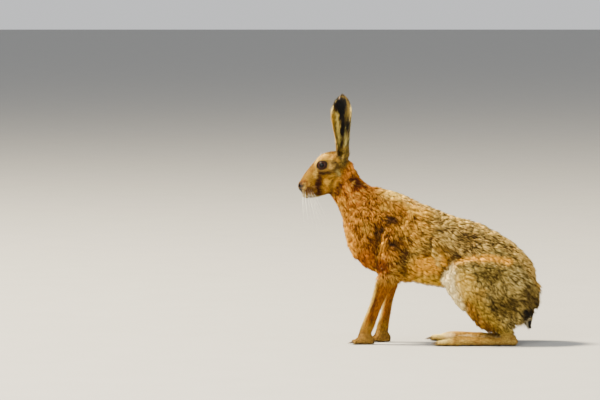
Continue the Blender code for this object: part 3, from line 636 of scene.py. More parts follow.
# Each group's marks, in the order they are laid on: the part, the numbers of a spot or stripe on it in the
# photograph's pixels (or None for the whole part), the colours of its pale and dark hairs as fur_tone takes
# them, the share of dark hairs and, for a faint mark, its strength
def body_marks(p, normals, seen, found):
    """Rufous neck and breast, a black and cream grizzled back, ochre flanks and a white belly."""
    chest, loin, neck, thigh = (found[name] for name in ("chest", "loin", "neck", "thigh"))
    body = chest + loin + neck
    facing_front = rise(normals[:, 0], -0.3, -0.9)
    beside = 0.3 + 0.7 * rise(np.abs(normals[:, 1]), 0.25, 0.7)
    curl_shades = ((378, 229, 7, 9), (393, 242, 8, 8), (388, 217, 9, 6), (371, 240, 5, 6))
    mottled = (neck + chest) * rise(bulges(p, 0.016, 12) + 0.6 * bulges(p, 0.008, 13), 0.25, 0.9)
    curls = bulges(p, 0.010, 19) + 0.6 * bulges(p, 0.0055, 20)
    ruff = neck * spot(seen, 350, 196, 24, 20, soft=0.4)
    curl_highlights = ((421, 231, 6, 5), (411, 246, 5, 6), (366, 226, 6, 8), (384, 206, 9, 5), (432, 240, 5, 6))
    grizzle = rise(seen[:, 0], 418, 450) * rise(seen[:, 1] - 0.32 * (seen[:, 0] - 450), 262, 240)
    under = rise(normals[:, 2], -0.90, -1.0) * rise(p[:, 2], 0.28, 0.2)
    tail = found["tail"]
    rump = (loin + thigh + found["shank"]) * rise(p[:, 0], 0.174, 0.188)
    return (
        # Painted highlight: the neck and the breast are paler where they face forward, into the light
        (neck * facing_front, None, (228, 166, 84), (168, 100, 38), 0.2),
        (chest * facing_front, None, (255, 184, 86), (190, 114, 42), 0.16),
        (chest, (364, 255, 14, 13), (186, 110, 38), (122, 60, 17), 0.3),
        (beside * body, (357.5, 181, 13, 9, -35, 0.5), (98, 38, 17), (52, 17, 7), 0.8),
        (body, (355, 170, 8, 7, -35, 0.8), (180, 122, 50), (100, 58, 20), 0.42),
        (neck, (339, 197, 9, 7), (255, 178, 66), (176, 100, 32), 0.16),
        # Painted shade: dark patches on the shoulder where the clumps of fur shade each other
        *((body, curl, (120, 77, 35), (50, 26, 10), 0.68, 0.95) for curl in curl_shades),
        (body, (410, 228, 22, 20), (236, 178, 92), (132, 84, 36), 0.24, 0.8),
        (mottled, None, (168, 100, 38), (84, 42, 14), 0.5, 0.6),
        (ruff * rise(curls, 0.2, 0.8), None, (158, 82, 32), (84, 34, 12), 0.6, 0.75),
        (ruff * rise(curls, -0.25, -0.85), None, (255, 196, 108), (206, 138, 62), 0.1, 0.65),
        # Painted highlights: pale patches on the lit tops of the clumps of fur
        *((body, curl, (222, 172, 92), (140, 90, 38), 0.24, 0.7) for curl in curl_highlights),
        (grizzle * loin, None, (226, 192, 134), (80, 54, 28), 0.43),
        # Painted highlight: the light along the withers
        (body, (392, 195, 24, 9, -19, 0.9), (255, 216, 134), (236, 178, 96), 0.08),
        (body, (412, 208, 18, 8, -24), (244, 190, 98), (166, 108, 44), 0.22),
        (loin, (450, 221, 20, 8, -20, 0.8), (238, 200, 134), (106, 76, 38), 0.34),
        (loin, (490, 238, 18, 9, -32), (192, 160, 106), (64, 45, 24), 0.5),
        (loin, (464, 238, 16, 11, -18), (172, 135, 84), (56, 39, 20), 0.52),
        (loin, (437, 248, 10, 9), (178, 130, 62), (82, 54, 20), 0.42),
        # Painted highlight: a pale line of light along the top of the back, down to the rump
        (body, (((402, 199), (450, 214), (500, 238), (530, 268)), 4.5), (230, 192, 130), None, 0.34),
        (loin, (426, 262, 26, 13, 6), (242, 174, 66), (158, 102, 30), 0.2),
        (loin, (428, 281, 28, 9, -4), (222, 172, 72), (160, 114, 42), 0.16),
        (loin, (((431, 248), (434, 262)), 4.5), (222, 184, 120), (164, 116, 60), 0.2),
        (loin, (402, 272, 15, 11), (202, 146, 58), (132, 82, 24), 0.24),
        (under * (loin + chest), None, (236, 224, 196), (206, 184, 140), 0.12),
        (tail * rise(normals[:, 0], -0.3, -0.65), None, (232, 226, 208), (196, 186, 160), 0.15),
        (rump, (528, 300, 12, 20), (132, 106, 62), (50, 36, 20), 0.56, 0.8),
        (rump, (524, 314, 9, 11), (42, 35, 27), (16, 13, 10), 0.64),
    )


def leg_marks(p, normals, found):
    """The haunch: a painted highlight along its top, white at the knee with a painted glow, brown and dark
    low down. Orange forelegs with a painted highlight down their fronts. The feet have painted shade low
    down and in the creases between the toes.
    """
    thigh = found["thigh"] + found["shank"]
    top = ((449, 263), (458, 259), (470, 257), (490, 257), (505, 260))
    knee = ((445, 266), (446, 284), (450, 298), (455, 310))
    inner = rise(normals[:, 1] * np.sign(p[:, 1]), -0.2, -0.6)
    foreleg = found["foreleg"]
    elbow = foreleg + found["chest"] + found["loin"]
    foot = found["foot"]
    feet = found["paw"] + foot
    instep = foot * rise(normals[:, 2], 0.1, 0.8) * rise(p[:, 0], 0.05, 0.08)
    mottled = rise(bulges(p, 0.015, 14) + 0.6 * bulges(p, 0.007, 15), 0.1, 0.9)
    return (
        (thigh, (486, 272, 19, 12), (168, 142, 88), (74, 54, 26), 0.52),
        (thigh, (515, 276, 13, 12), (206, 184, 134), (104, 82, 48), 0.38),
        (thigh, (500, 303, 19, 14, -8), (124, 97, 46), (52, 38, 15), 0.58, 0.85),
        (thigh, (476, 291, 9, 10, -40), (196, 154, 84), (100, 70, 30), 0.38, 0.8),
        (thigh, (461, 284, 14, 18), (228, 190, 116), (178, 134, 68), 0.18),
        (thigh, (((464, 304), (474, 319), (486, 329)), 10), (166, 116, 52), (102, 62, 22), 0.4),
        # Painted highlight: the light along the top of the haunch
        (thigh, (top, 5.5), (242, 178, 78), (180, 114, 42), 0.14),
        (thigh, (((450, 290), (456, 304), (464, 315)), 7), (228, 192, 122), (176, 130, 62), 0.2),
        # White fur at the knee, painted brighter still as the glow of the backlit fur: its own colour and
        # painted light
        (thigh, (knee, 12), (255, 240, 196), (242, 214, 160), 0.05),
        (found["shank"], (508, 331, 10, 8), (160, 134, 56), (98, 76, 26), 0.36),
        (inner * (thigh + found["foot"]), None, (228, 212, 178), (186, 160, 112), 0.15),
        (elbow, (381, 263, 8, 12), (152, 82, 19), (94, 42, 7), 0.46),
        (foreleg, (((378, 282), (372, 312), (368, 332)), 2.4), (134, 74, 22), (74, 34, 8), 0.58),
        # Painted highlight: the fronts of the forelegs, which face the light, are paler
        (foreleg * rise(normals[:, 0], -0.4, -0.85), None, (242, 206, 122), (196, 146, 70), 0.1),
        (foreleg * rise(p[:, 2], 0.052, 0.030), None, (182, 140, 66), (102, 70, 28), 0.36, 0.7),
        (foreleg * rise(normals[:, 0], 0.6, 0.95), None, (206, 146, 62), (150, 90, 26), 0.2),
        (instep, None, (196, 150, 78), (132, 88, 34), 0.34),
        (foot, (500, 336, 20, 5), (176, 142, 80), (104, 76, 38), 0.4),
        (feet * mottled, None, (164, 116, 58), (80, 50, 22), 0.5, 0.85),
        (foot, (438, 339, 13, 7), (250, 228, 160), (196, 166, 108), 0.12),
        # Darker towards the floor: the browner sole, with painted shade low on the feet
        (feet * rise(p[:, 2], 0.013, 0.003), None, (164, 124, 72), (84, 56, 28), 0.46, 0.75),
        # Painted shadow where the feet meet the floor
        (feet * rise(p[:, 2], 0.0045, 0.0020), None, (122, 94, 56), (62, 44, 24), 0.55),
        (feet * toe_tips(p), None, (176, 146, 98), (84, 62, 34), 0.45, 0.6),
        # Painted shade in the creases between the toes
        (feet * toe_creases(p, normals), None, (66, 46, 24), (30, 19, 9), 0.75),
    )


MOUTH = ((303.8, 192.5), (306.8, 195.4), (310.4, 197.2))


def head_marks(p, normals, seen, head):
    """Golden brow and nose, cream round the eye, a dark streak below it, tan lip pads and a white chin. The
    streak, the line along the fold under the jaw and the black of the nostril are painted shade.
    """
    cheek = head * spot(seen, 328, 182, 15, 13, soft=0.4)
    curls = bulges(p, 0.0095, 17) + 0.6 * bulges(p, 0.005, 18)
    jaw = rise(seen[:, 1] - 0.10 * (seen[:, 0] - 310), 193.5, 196)
    lip_front = ((303.6, 184), (303.4, 190), (304.2, 194.5), (307, 198.5))
    mouth = stripe(seen, MOUTH, 1.0) * rise(np.abs(p[:, 1]), 0.001, 0.004)
    ridge = rise(normals[:, 2], 0.3, 0.9) * rise(np.abs(p[:, 1]), 0.013, 0.006)
    reach = lid_reach(p)
    return (
        (head, (330, 151.5, 16, 6.5), (108, 80, 32), (50, 33, 14), 0.56),
        (head, (307, 178, 9, 6, 42), (158, 118, 36), (104, 70, 20), 0.3),
        (head, (324, 184, 8, 12), (196, 138, 44), (128, 78, 20), 0.28),
        (head, (337, 184, 10, 9), (255, 182, 70), (158, 100, 32), 0.2),
        (cheek * rise(curls, -0.15, -0.8), None, (232, 182, 92), (164, 112, 44), 0.14, 0.7),
        (cheek * rise(curls, 0.2, 0.85), None, (124, 86, 32), (66, 40, 13), 0.58, 0.6),
        (head, (329.5, 185, 3.6, 4.5), (140, 98, 40), (84, 52, 16), 0.5),
        # Painted shade along the fold under the back of the jaw
        (head, (((327, 192.5), (334, 192.5), (338, 189)), 2.6), (132, 78, 24), (74, 36, 8), 0.55),
        (head, (331, 164.5, 5, 6.5), (148, 116, 70), (92, 66, 34), 0.4),
        (head, (335, 167, 5, 7), (104, 76, 34), (50, 32, 12), 0.6),
        # Painted shade below the eye: a dark streak under its front corner and a darker line under the eye
        (head, (((317.5, 171.5), (322, 172.8)), 3.0), (88, 54, 22), (44, 24, 8), 0.65),
        (head, (((322, 173), (328, 172.3), (334, 170)), 2.8), (108, 72, 32), (56, 34, 12), 0.55, 0.85),
        (head, (325.5, 157, 9.5, 4.2, 4), (248, 202, 120), (206, 152, 80), 0.12),
        (head, (331.5, 155, 4.5, 4.5), (214, 158, 92), (150, 98, 48), 0.26, 0.8),
        (head, (329.8, 165.5, 2.4, 4.8), (222, 182, 120), (168, 124, 70), 0.14),
        (head, (((318, 155.5), (322, 152.8), (328, 151.6)), 1.5), (112, 78, 30), (54, 34, 14), 0.6),
        (head, (((335.8, 148), (336.6, 158)), 1.5), (92, 60, 26), (46, 28, 12), 0.62),
        (head, (((317, 158), (315.8, 166), (315.5, 177)), 2.3), (222, 186, 116), (164, 118, 52), 0.18),
        # Painted shade: the streak runs down the crease behind the whisker pad to the corner of the mouth
        (head, (((318, 167), (317.3, 174), (317.2, 183)), 2.4), (120, 74, 30), (64, 30, 10), 0.6, 0.8),
        (head, (((317.2, 180), (317.8, 188), (316.6, 194.5)), 4.4), (98, 36, 14), (48, 13, 5), 0.85),
        (head, (((313.8, 184), (313.6, 190)), 1.2), (178, 136, 100), (126, 84, 56), 0.2),
        (head, (((301.5, 181.6), (306, 181)), 1.8), (150, 96, 32), (96, 52, 12), 0.5),
        (head, (308.5, 189.8, 6.5, 5), (108, 68, 27), (66, 36, 11), 0.5),
        (head, (307, 184.8, 5, 2.4), (172, 130, 72), (124, 84, 38), 0.2),
        (head, (337, 173.5, 3.2, 3.8), (190, 170, 116), (140, 120, 76), 0.2),
        (head * jaw * rise(seen[:, 0], 330, 326), None, (186, 158, 96), (132, 102, 52), 0.2),
        (head * jaw * rise(seen[:, 0], 313, 309), None, (186, 174, 140), (150, 134, 98), 0.12),
        (head, (lip_front, 1.0), (176, 154, 104), (132, 106, 62), 0.2),
        (head * mouth, None, (96, 62, 30), (44, 24, 10), 0.6),
        # Painted shade: the nostril's slit, painted near black
        (head * nostril(p, seen), None, (18, 12, 9), (6, 4, 3), 0.7),
        (head * ridge, None, (164, 122, 38), (98, 66, 20), 0.36, 0.5),
        (head * rise(reach, 1.9, 1.4), None, (196, 156, 96), (126, 88, 46), 0.25, 0.6),
        (head * rise(reach, 1.30, 1.18), None, (44, 27, 16), (18, 10, 6), 0.7),
    )


def nostril(p, seen):
    slit = stripe(seen, ((301.2, 184.6), (300.0, 187.4), (300.4, 190.6)), 3.5)
    return slit * (0.6 + 0.4 * rise(np.abs(p[:, 1]), 0.0003, 0.0016))


EAR_LOOKS = (-0.41, 0.91)  # an ear's hollow looks outwards and a little ahead: along x, and outwards


def hollow_of_ear(p, normals):
    """1 on the hollow of an ear, and 0 on its back."""
    ahead = EAR_LOOKS[0] * normals[:, 0]
    return rise(ahead + EAR_LOOKS[1] * np.sign(p[:, 1]) * normals[:, 1], -0.1, 0.15)


def ear_marks(p, normals, seen, found):
    """Tan front edge, pale and black stripes down the hollow, olive rear edge and a black tip. The black
    stripes and the dark line by the front edge are painted shade deep in the hollow.
    """
    base = found["head"] * rise(seen[:, 1], 171, 164) * spot(seen, 342.5, 158, 7, 14)
    ear = found["ear"]
    hollow = hollow_of_ear(p, normals) * ear
    back = ear - hollow
    rear = stripe(seen, ((351.8, 104), (352, 118), (351, 131), (348.6, 138), (348, 150)), 1.6)
    front = stripe(seen, ((333, 102), (331.4, 108), (332, 114)), 1.4)
    tan_edge = hollow * rise(seen[:, 0], 336, 334.8) * rise(seen[:, 1], 106, 112)
    return (
        (base, None, (154, 124, 66), (48, 35, 18), 0.46),
        (back, None, (146, 118, 68), (74, 54, 28), 0.42),
        (back * rise(seen[:, 0], 342, 350), None, (190, 172, 124), (120, 100, 62), 0.3),
        (hollow * rise(seen[:, 0], 343, 346), None, (116, 94, 48), (44, 32, 15), 0.5),
        (hollow, (348, 126.5, 5, 7), (36, 28, 14), (15, 11, 6), 0.65),
        (tan_edge, None, (160, 122, 50), (104, 72, 24), 0.3),
        # Painted shade: a dark line where the front edge folds over the hollow
        (hollow, (((335, 112), (335.6, 130), (335.8, 152)), 1.1), (84, 56, 24), (40, 22, 8), 0.6),
        (hollow, (((337.4, 114), (338.0, 132), (338.9, 147)), 2.8), (236, 208, 134), (170, 140, 78), 0.2),
        (hollow, (((345, 127), (344.6, 147)), 1.5), (180, 168, 118), (116, 102, 60), 0.3),
        # Painted shade deep in the hollow: black stripes down its middle, which meet the black tip at the
        # top
        (hollow, (((341.2, 103), (342.4, 118), (342.2, 133)), 4.2), (16, 6, 6), (6, 2, 2), 0.8),
        (hollow, (((342, 130), (341.2, 147)), 2.3), (34, 16, 13), (14, 6, 5), 0.75),
        (hollow, (340.4, 106, 7.6, 10.5, 0, 0.3), (6, 5, 4), (2, 2, 2), 0.7),
        (hollow, (339.7, 98.2, 1.6, 1.3), (196, 176, 166), (140, 118, 104), 0.2),
        (back * rise(seen[:, 1], 116, 110), None, (14, 11, 9), (6, 5, 4), 0.6),
        (ear * rise(seen[:, 1], 98, 95), None, (16, 12, 10), (7, 5, 4), 0.6),
        (ear * rear, None, (224, 206, 150), (170, 148, 92), 0.1),
        (ear * front, None, (226, 210, 160), (170, 150, 100), 0.12),
    )


def write_attribute(mesh, name, values, kind="FLOAT"):
    field = {"FLOAT": "value", "FLOAT_VECTOR": "vector", "FLOAT_COLOR": "color"}[kind]
    if kind == "FLOAT_COLOR":
        values = np.hstack([values, np.ones((len(values), 1))])
    mesh.attributes.new(name, kind, "POINT").data.foreach_set(field, values.astype(np.float32).ravel())


def mark_hide(mesh):
    """Writes each vertex's markings, painted light and shade included, and the size and lie of the fur that
    grows there.
    """
    placed = read_vectors(mesh.vertices, "co")
    p = placed - (SETTLED, 0, 0)
    ends = edge_ends(mesh)
    normals = unit(averaged(read_vectors(mesh.vertices, "normal"), ends, 3))
    found = regions(p)
    give_to_ears(found, beside_ears(placed))
    seen = photo_view(p)
    hollow = ((averaged(placed, ends, 40) - placed) * normals).sum(1)
    pale, dark, share = markings(p, normals, averaged(hollow[:, None], ends, 4)[:, 0])
    write_attribute(mesh, "root", placed, "FLOAT_VECTOR")
    write_attribute(mesh, "pale_hair", pale, "FLOAT_COLOR")
    write_attribute(mesh, "dark_hair", dark, "FLOAT_COLOR")
    write_attribute(mesh, "dark_share", share)
    lie = np.stack([blended(found, LIES, k) for k in range(3)], 1)
    lie[:, 1] *= np.sign(p[:, 1]) * rise(np.abs(p[:, 1]), 0, 0.01)
    lie = unit(lie - normals * (lie * normals).sum(1)[:, None])
    write_attribute(mesh, "lie", unit(averaged(lie, ends, 10)), "FLOAT_VECTOR")
    furry = rise(lid_reach(p), 1.12, 1.26)
    bare = np.maximum(nostril(p, seen), stripe(seen, MOUTH, 0.8)) * (found["head"] + found["muzzle"])
    flat = normals[:, 1] * EAR_LOOKS[1] + np.sign(p[:, 1]) * EAR_LOOKS[0] * normals[:, 0]
    rim = found["ear"] * rise(np.abs(flat), 0.75, 0.35)
    longer = (1 + 0.9 * rim) * (0.55 + 0.45 * rise(lid_reach(p), 1.3, 2.2))
    hollow = ((averaged(placed, ends, 12) - placed) * normals).sum(1)
    hollow = averaged(np.clip(hollow, 0, 0.0012)[:, None], ends, 4)[:, 0]
    crest = found["head"] + found["ear"]
    creased = rise(hollow, 0.00015, 0.0007) * crest * rise(p[:, 2], 0.335, 0.345)
    ear_foot = found["ear"] * rise(p[:, 2], 0.392, 0.360)
    thicker = (1 + 1.0 * creased) * (1 + 1.1 * ear_foot) * (1 + rim)
    length = blended(found, COATS, 1) * (1 + 0.7 * ear_foot) * (1 - 0.35 * creased)
    depth = blended(found, COATS, 0) * longer + 1.2 * ear_foot
    write_attribute(mesh, "coat_depth", depth / 1000 + (0.6 + 2.4 * crest) * hollow)
    trimmed = (1 - 0.4 * toe_tips(p)) * (1 - 0.5 * toe_creases(p, normals))
    write_attribute(mesh, "tuft_length", length / 1000 * longer * trimmed)
    write_attribute(mesh, "tuft_width", blended(found, COATS, 2) / 1000 * (1 + 0.3 * creased))
    write_attribute(mesh, "tufts_here", blended(found, COATS, 4) * 10000 * furry * (1 - bare) * thicker)


def unwrap(obj):
    """Flattens the hide into a map of many small patches, each true to the shape of the hide there."""
    bpy.context.view_layer.objects.active = obj
    obj.select_set(True)
    obj.data.uv_layers.new(name="OFBake")
    bpy.ops.object.mode_set(mode="EDIT")
    bpy.ops.mesh.select_all(action="SELECT")
    bpy.ops.uv.smart_project(angle_limit=math.radians(66), island_margin=0.002)
    bpy.ops.object.mode_set(mode="OBJECT")
    obj.select_set(False)


def hair_colour(wires, speck, tip):
    """The colour of a hair: pale or dark by its speck, dark at the root, and now and then at the tip. The
    dark root is partly the darker underfur and partly painted shade deep in the coat.
    """
    root = wires.attribute("root", "Vector")
    patches = wires.noise(root, 60, 2) + wires.noise(root, 190, 1) * 0.5
    share = wires.attribute("dark_share")
    share = share + (patches - 0.75) * 2 * share
    is_dark = wires.between(share - speck, -0.06, 0.06)
    dark = wires.attribute("dark_hair", "Color")
    hair = wires.mix(is_dark, wires.attribute("pale_hair", "Color"), dark)
    draw = wires.maths("FRACT", speck * 37)
    varied = wires.mix(1, hair, wires.mix(draw, (0.78, 0.74, 0.68, 1), (1.2, 1.2, 1.2, 1)), "MULTIPLY")
    black_tip = wires.between(draw, 0.80, 0.84) * wires.between(tip, 0.62, 0.80) * 0.75
    ticked = wires.mix(black_tip, varied, dark)
    # Painted shade at the root, laid over the underfur's own darker colour
    under = wires.mix(1, dark, (0.55, 0.5, 0.46, 1), "MULTIPLY")
    return wires.mix(wires.between(tip, 0.08, 0.50), under, ticked)


def hide_finish():
    material, wires, shader = finish_named("hide", 0.85, 0.2)
    place = wires.node("ShaderNodeTexCoord", output="Object")
    speck = wires.between(wires.noise(place, 2400, 2), 0.25, 0.75)
    # The hide takes the hairs' dark root colour: its own colour under the fur, darkened as painted shade in
    # the gaps of the coat
    wires.feed(shader.inputs["Base Color"], hair_colour(wires, speck, 0.30))
    grain = wires.noise(place, 1400, 3)
    bump = {"Height": grain, "Strength": 0.35, "Distance": 0.0006}
    wires.feed(shader.inputs["Normal"], wires.node("ShaderNodeBump", None, bump))
    return material


hide = fused_flesh()
apply_modifier(hide, "REMESH", mode="VOXEL", voxel_size=HIDE_GRAIN)
apply_modifier(hide, "SMOOTH", factor=0.5, iterations=2)
draw_in(hide)
apply_modifier(hide, "DECIMATE", ratio=HIDE_TRIANGLES / (2 * len(hide.data.polygons)))
unwrap(hide)
mark_hide(hide.data)
hide.data.materials.clear()
hide.data.materials.append(hide_finish())
hide.data.shade_smooth()
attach(hide, "root")
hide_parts(*flesh)

# The coat: tufts of hair rooted in the hide. Each tuft is a thin closed spike that leaves the skin, bends
# over and lies back along the body. They are scattered by each place's density and made one mesh a part.
TUFT_SIDES = 3
# Along, up and width of each ring: long hair rises and bends over, and short hair is straight
LONG_TUFT = ((0.0, -0.12, 0.55), (0.34, 0.62, 1.0))
SHORT_TUFT = ((0.0, -0.10, 1.0),)
TUFT_THICK = 0.45
PATCH = 0.003  # a tuft's share of the map
FLOOR_GAP = 0.0002  # hair lies on the floor, not in it
WAVES, SWING = 55, 2.2  # how close the waves in the lie of the hair are, and how strong
RAGGED, RAGGED_REACH = 260, 0.0035  # the same for the edges of the clumps
SPARE_FIELDS = (
    "lie", "coat_depth", "tuft_length", "tuft_width", "tufts_here", "in_piece", "in_patch", "root_uv"
)


def skin_rings(made, rings):
    """Faces between each ring and the next."""
    for first, second in zip(rings, rings[1:]):
        for k in range(len(first)):
            n = (k + 1) % len(first)
            made.faces.new((first[k], first[n], second[n], second[k]))


def tuft_shape(name, ring_table):
    """A spike of unit length, width and height, lying along X and bowed up in Z."""
    made = bmesh.new()
    rings = []
    for along, up, width in ring_table:
        ring = []
        for k in range(TUFT_SIDES):
            angle = math.tau * k / TUFT_SIDES + math.pi / 2
            side = 0.5 * width * math.cos(angle)
            ring.append(made.verts.new((along, side, up + TUFT_THICK * 0.12 * width * math.sin(angle))))
        rings.append(ring)
    tip = made.verts.new((1, 0, 1))
    skin_rings(made, rings)
    for k in range(TUFT_SIDES):
        made.faces.new((rings[-1][k], rings[-1][(k + 1) % TUFT_SIDES], tip))
    made.faces.new(rings[0])
    bmesh.ops.recalc_face_normals(made, faces=made.faces)
    bmesh.ops.triangulate(made, faces=made.faces)
    mesh = finished_mesh(name, made)
    mesh.shade_smooth()
    p = read_vectors(mesh.vertices, "co")
    write_attribute(mesh, "tip", p[:, 0])
    in_patch = np.stack([p[:, 0] - 0.5, p[:, 1], 0 * p[:, 0]], 1) * PATCH
    write_attribute(mesh, "in_patch", in_patch, "FLOAT_VECTOR")
    return link_object(name, mesh)


def scatter_tree(tuft, material):
    """Geometry nodes that root tufts over the hide where a mask is set."""
    tree = bpy.data.node_groups.new("scatter_tufts", "GeometryNodeTree")
    plan = tree.interface
    plan.new_socket("Hide", in_out="INPUT", socket_type="NodeSocketGeometry")
    for name, start in (
        ("Share of Tufts", 1.0),
        ("Clump Size", 0.008),
        ("Clumping", 0.7),
        ("Unruliness", 0.3),
        ("Shag", 1.0),
    ):
        plan.new_socket(name, in_out="INPUT", socket_type="NodeSocketFloat").default_value = start
    plan.new_socket("Seed", in_out="INPUT", socket_type="NodeSocketInt")
    plan.new_socket("Coat", in_out="OUTPUT", socket_type="NodeSocketGeometry")
    wires = Wires(tree)
    entry = tree.nodes.new("NodeGroupInput")
    given = {socket.name: Value(wires, socket) for socket in entry.outputs if socket.name}

    def named(name, kind="FLOAT"):
        return wires.node("GeometryNodeInputNamedAttribute", {"data_type": kind}, {"Name": name})

    def scaled(vector, size):
        return wires.node("ShaderNodeVectorMath", {"operation": "SCALE"}, {0: vector, "Scale": size})

    def chance(low, high, seed, kind="FLOAT"):
        ends = {"FLOAT": (2, 3), "FLOAT_VECTOR": (0, 1)}[kind]
        output = {"FLOAT": 1, "FLOAT_VECTOR": 0}[kind]
        added = {ends[0]: low, ends[1]: high, "Seed": given["Seed"] + seed}
        return wires.node("FunctionNodeRandomValue", {"data_type": kind}, added, output)

    def keep(geometry, name, value, kind="FLOAT", domain="POINT"):
        sockets = {"Geometry": geometry, "Name": name, "Value": value}
        return wires.node("GeometryNodeStoreNamedAttribute", {"data_type": kind, "domain": domain}, sockets)

    density = named("tufts_here") * given["Share of Tufts"] * named("in_piece")
    points = wires.node(
        "GeometryNodeDistributePointsOnFaces",
        {"distribute_method": "RANDOM"},
        {"Mesh": given["Hide"], "Density": density, "Seed": given["Seed"]},
    )
    scatter = points.socket.node
    normal = Value(wires, scatter.outputs["Normal"])
    place = wires.node("GeometryNodeInputPosition")
    wave = wires.vectors("SUBTRACT", wires.noise(place, WAVES, 2, "Color"), (0.5, 0.5, 0.5))
    jitter = chance((-0.5, -0.5, -0.5), (0.5, 0.5, 0.5), 1, "FLOAT_VECTOR")
    swing = scaled(wave, SWING)
    shake = scaled(jitter, given["Unruliness"])
    ragged = wires.vectors("ADD", place, scaled(wires.noise(place, RAGGED, 1, "Color"), RAGGED_REACH))
    clump = wires.node(
        "ShaderNodeTexVoronoi",
        {"voronoi_dimensions": "3D", "feature": "F1"},
        {"Vector": ragged, "Scale": 1 / given["Clump Size"]},
    ).socket.node
    to_middle = wires.vectors("SUBTRACT", Value(wires, clump.outputs["Position"]), ragged)
    drawn = scaled(to_middle, given["Clumping"])
    clump_colour = Value(wires, clump.outputs["Color"])
    clump_draws = wires.node("FunctionNodeSeparateColor", None, {"Color": clump_colour})
    clump_lift = Value(wires, clump_draws.socket.node.outputs["Red"])
    clump_tone = Value(wires, clump_draws.socket.node.outputs["Green"])
    way = wires.vectors("ADD", named("lie", "FLOAT_VECTOR"), wires.vectors("ADD", swing, shake))
    reach = named("tuft_length") * chance(0.7, 1.1, 2)
    heading = wires.vectors("ADD", scaled(wires.vectors("NORMALIZE", way), reach), drawn)
    turn = wires.node(
        "FunctionNodeAxesToRotation",
        {"primary_axis": "Z", "secondary_axis": "X"},
        {"Primary Axis": normal, "Secondary Axis": heading},
    )
    long = wires.node("ShaderNodeVectorMath", {"operation": "LENGTH"}, {0: heading}, "Value")
    wide = named("tuft_width") * chance(0.7, 1.3, 3)
    tall = named("coat_depth") * chance(0.6, 1.0, 4) * (clump_lift * 0.5 + 0.6) * given["Shag"]
    size = wires.node("ShaderNodeCombineXYZ", None, {"X": long, "Y": wide, "Z": tall})
    points = keep(points, "speck", chance(0.0, 0.68, 5) + clump_tone * 0.32)
    root_uv = named("OFBake", "FLOAT_VECTOR")
    points = keep(points, "root_uv", root_uv, "FLOAT_VECTOR")
    shape = wires.node("GeometryNodeObjectInfo", None, {"Object": tuft}, output="Geometry")
    rooted = wires.node(
        "GeometryNodeInstanceOnPoints",
        None,
        {"Points": points, "Instance": shape, "Rotation": turn, "Scale": size},
    )
    loose = wires.node("GeometryNodeRealizeInstances", None, {"Geometry": rooted})
    in_map = wires.vectors("ADD", named("root_uv", "FLOAT_VECTOR"), named("in_patch", "FLOAT_VECTOR"))
    mapped = keep(loose, "OFBake", in_map, "FLOAT2", "CORNER")
    finished = wires.node("GeometryNodeSetMaterial", None, {"Geometry": mapped, "Material": material})
    leave = tree.nodes.new("NodeGroupOutput")
    wires.feed(leave.inputs["Coat"], finished)
    return tree


def coat_finish():
    material, wires, shader = finish_named("fur", 0.75, 0.13)
    colour = hair_colour(wires, wires.attribute("speck"), wires.attribute("tip"))
    wires.feed(shader.inputs["Base Color"], colour)
    return material


def grow(name, tree, hide_mesh, mask, seed, settings):
    """One piece of the coat, over the part of the hide where the mask is 1."""
    mesh = hide_mesh.copy()
    write_attribute(mesh, "in_piece", mask)
    obj = link_object(name, mesh)
    modifier = obj.modifiers.new("tufts", "NODES")
    modifier.node_group = tree
    identifiers = {i.name: i.identifier for i in tree.interface.items_tree if i.item_type == "SOCKET"}
    for label, value in {"Seed": seed, **settings}.items():
        modifier[identifiers[label]] = value
    bpy.context.view_layer.update()
    grown = bpy.data.meshes.new_from_object(obj.evaluated_get(bpy.context.evaluated_depsgraph_get()))
    obj.modifiers.clear()
    obj.data = grown
    bpy.data.meshes.remove(mesh)
    placed = read_vectors(grown.vertices, "co")
    placed[:, 2] = np.maximum(placed[:, 2], FLOOR_GAP)
    grown.vertices.foreach_set("co", placed.astype(np.float32).ravel())
    for spare in SPARE_FIELDS:
        if spare in grown.attributes:
            grown.attributes.remove(grown.attributes[spare])
    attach(obj, "root")


tufts = [tuft_shape("long_tuft", LONG_TUFT), tuft_shape("short_tuft", SHORT_TUFT)]
fur = coat_finish()
long_coat, short_coat = [scatter_tree(tuft, fur) for tuft in tufts]
hide_places = read_vectors(hide.data.vertices, "co") - (SETTLED, 0, 0)
parts = regions(hide_places)
owner = np.argmax(np.array([parts[name] for name in COATS]), axis=0)
coat_names = list(COATS)
left_side = hide_places[:, 1] < 0
# Name, the parts it covers, whether it is the left side's, its material slot, its kind of tuft, the size of
# its clumps, their pull, and how shaggy it is
COAT_PIECES = (
    ("coat_ears", ("ear",), None, "ear_coat", short_coat, 0.0030, 0.3, 0.9),
    ("coat_head", ("head", "muzzle"), None, "coat", short_coat, 0.0036, 0.45, 0.85),
    ("coat_neck", ("neck",), None, "coat", long_coat, 0.0080, 0.78, 0.80),
    ("coat_chest_left", ("chest",), True, "coat", long_coat, 0.0092, 0.8, 1.0),
    ("coat_chest_right", ("chest",), False, "coat", long_coat, 0.0092, 0.8, 1.0),
    ("coat_loin_left", ("loin",), True, "belly_coat", long_coat, 0.0092, 0.8, 1.0),
    ("coat_loin_right", ("loin",), False, "belly_coat", long_coat, 0.0092, 0.8, 1.0),
    ("coat_haunch_left", ("thigh", "shank"), True, "coat", long_coat, 0.0095, 0.8, 1.0),
    ("coat_haunch_right", ("thigh", "shank"), False, "coat", long_coat, 0.0095, 0.8, 1.0),
    ("coat_forelegs", ("foreleg", "paw"), None, "limb_coat", short_coat, 0.0045, 0.5, 0.85),
    ("coat_hind_feet", ("foot",), None, "limb_coat", short_coat, 0.0045, 0.5, 0.95),
    ("coat_tail", ("tail",), None, "tail_coat", long_coat, 0.0070, 0.6, 1.15),
)
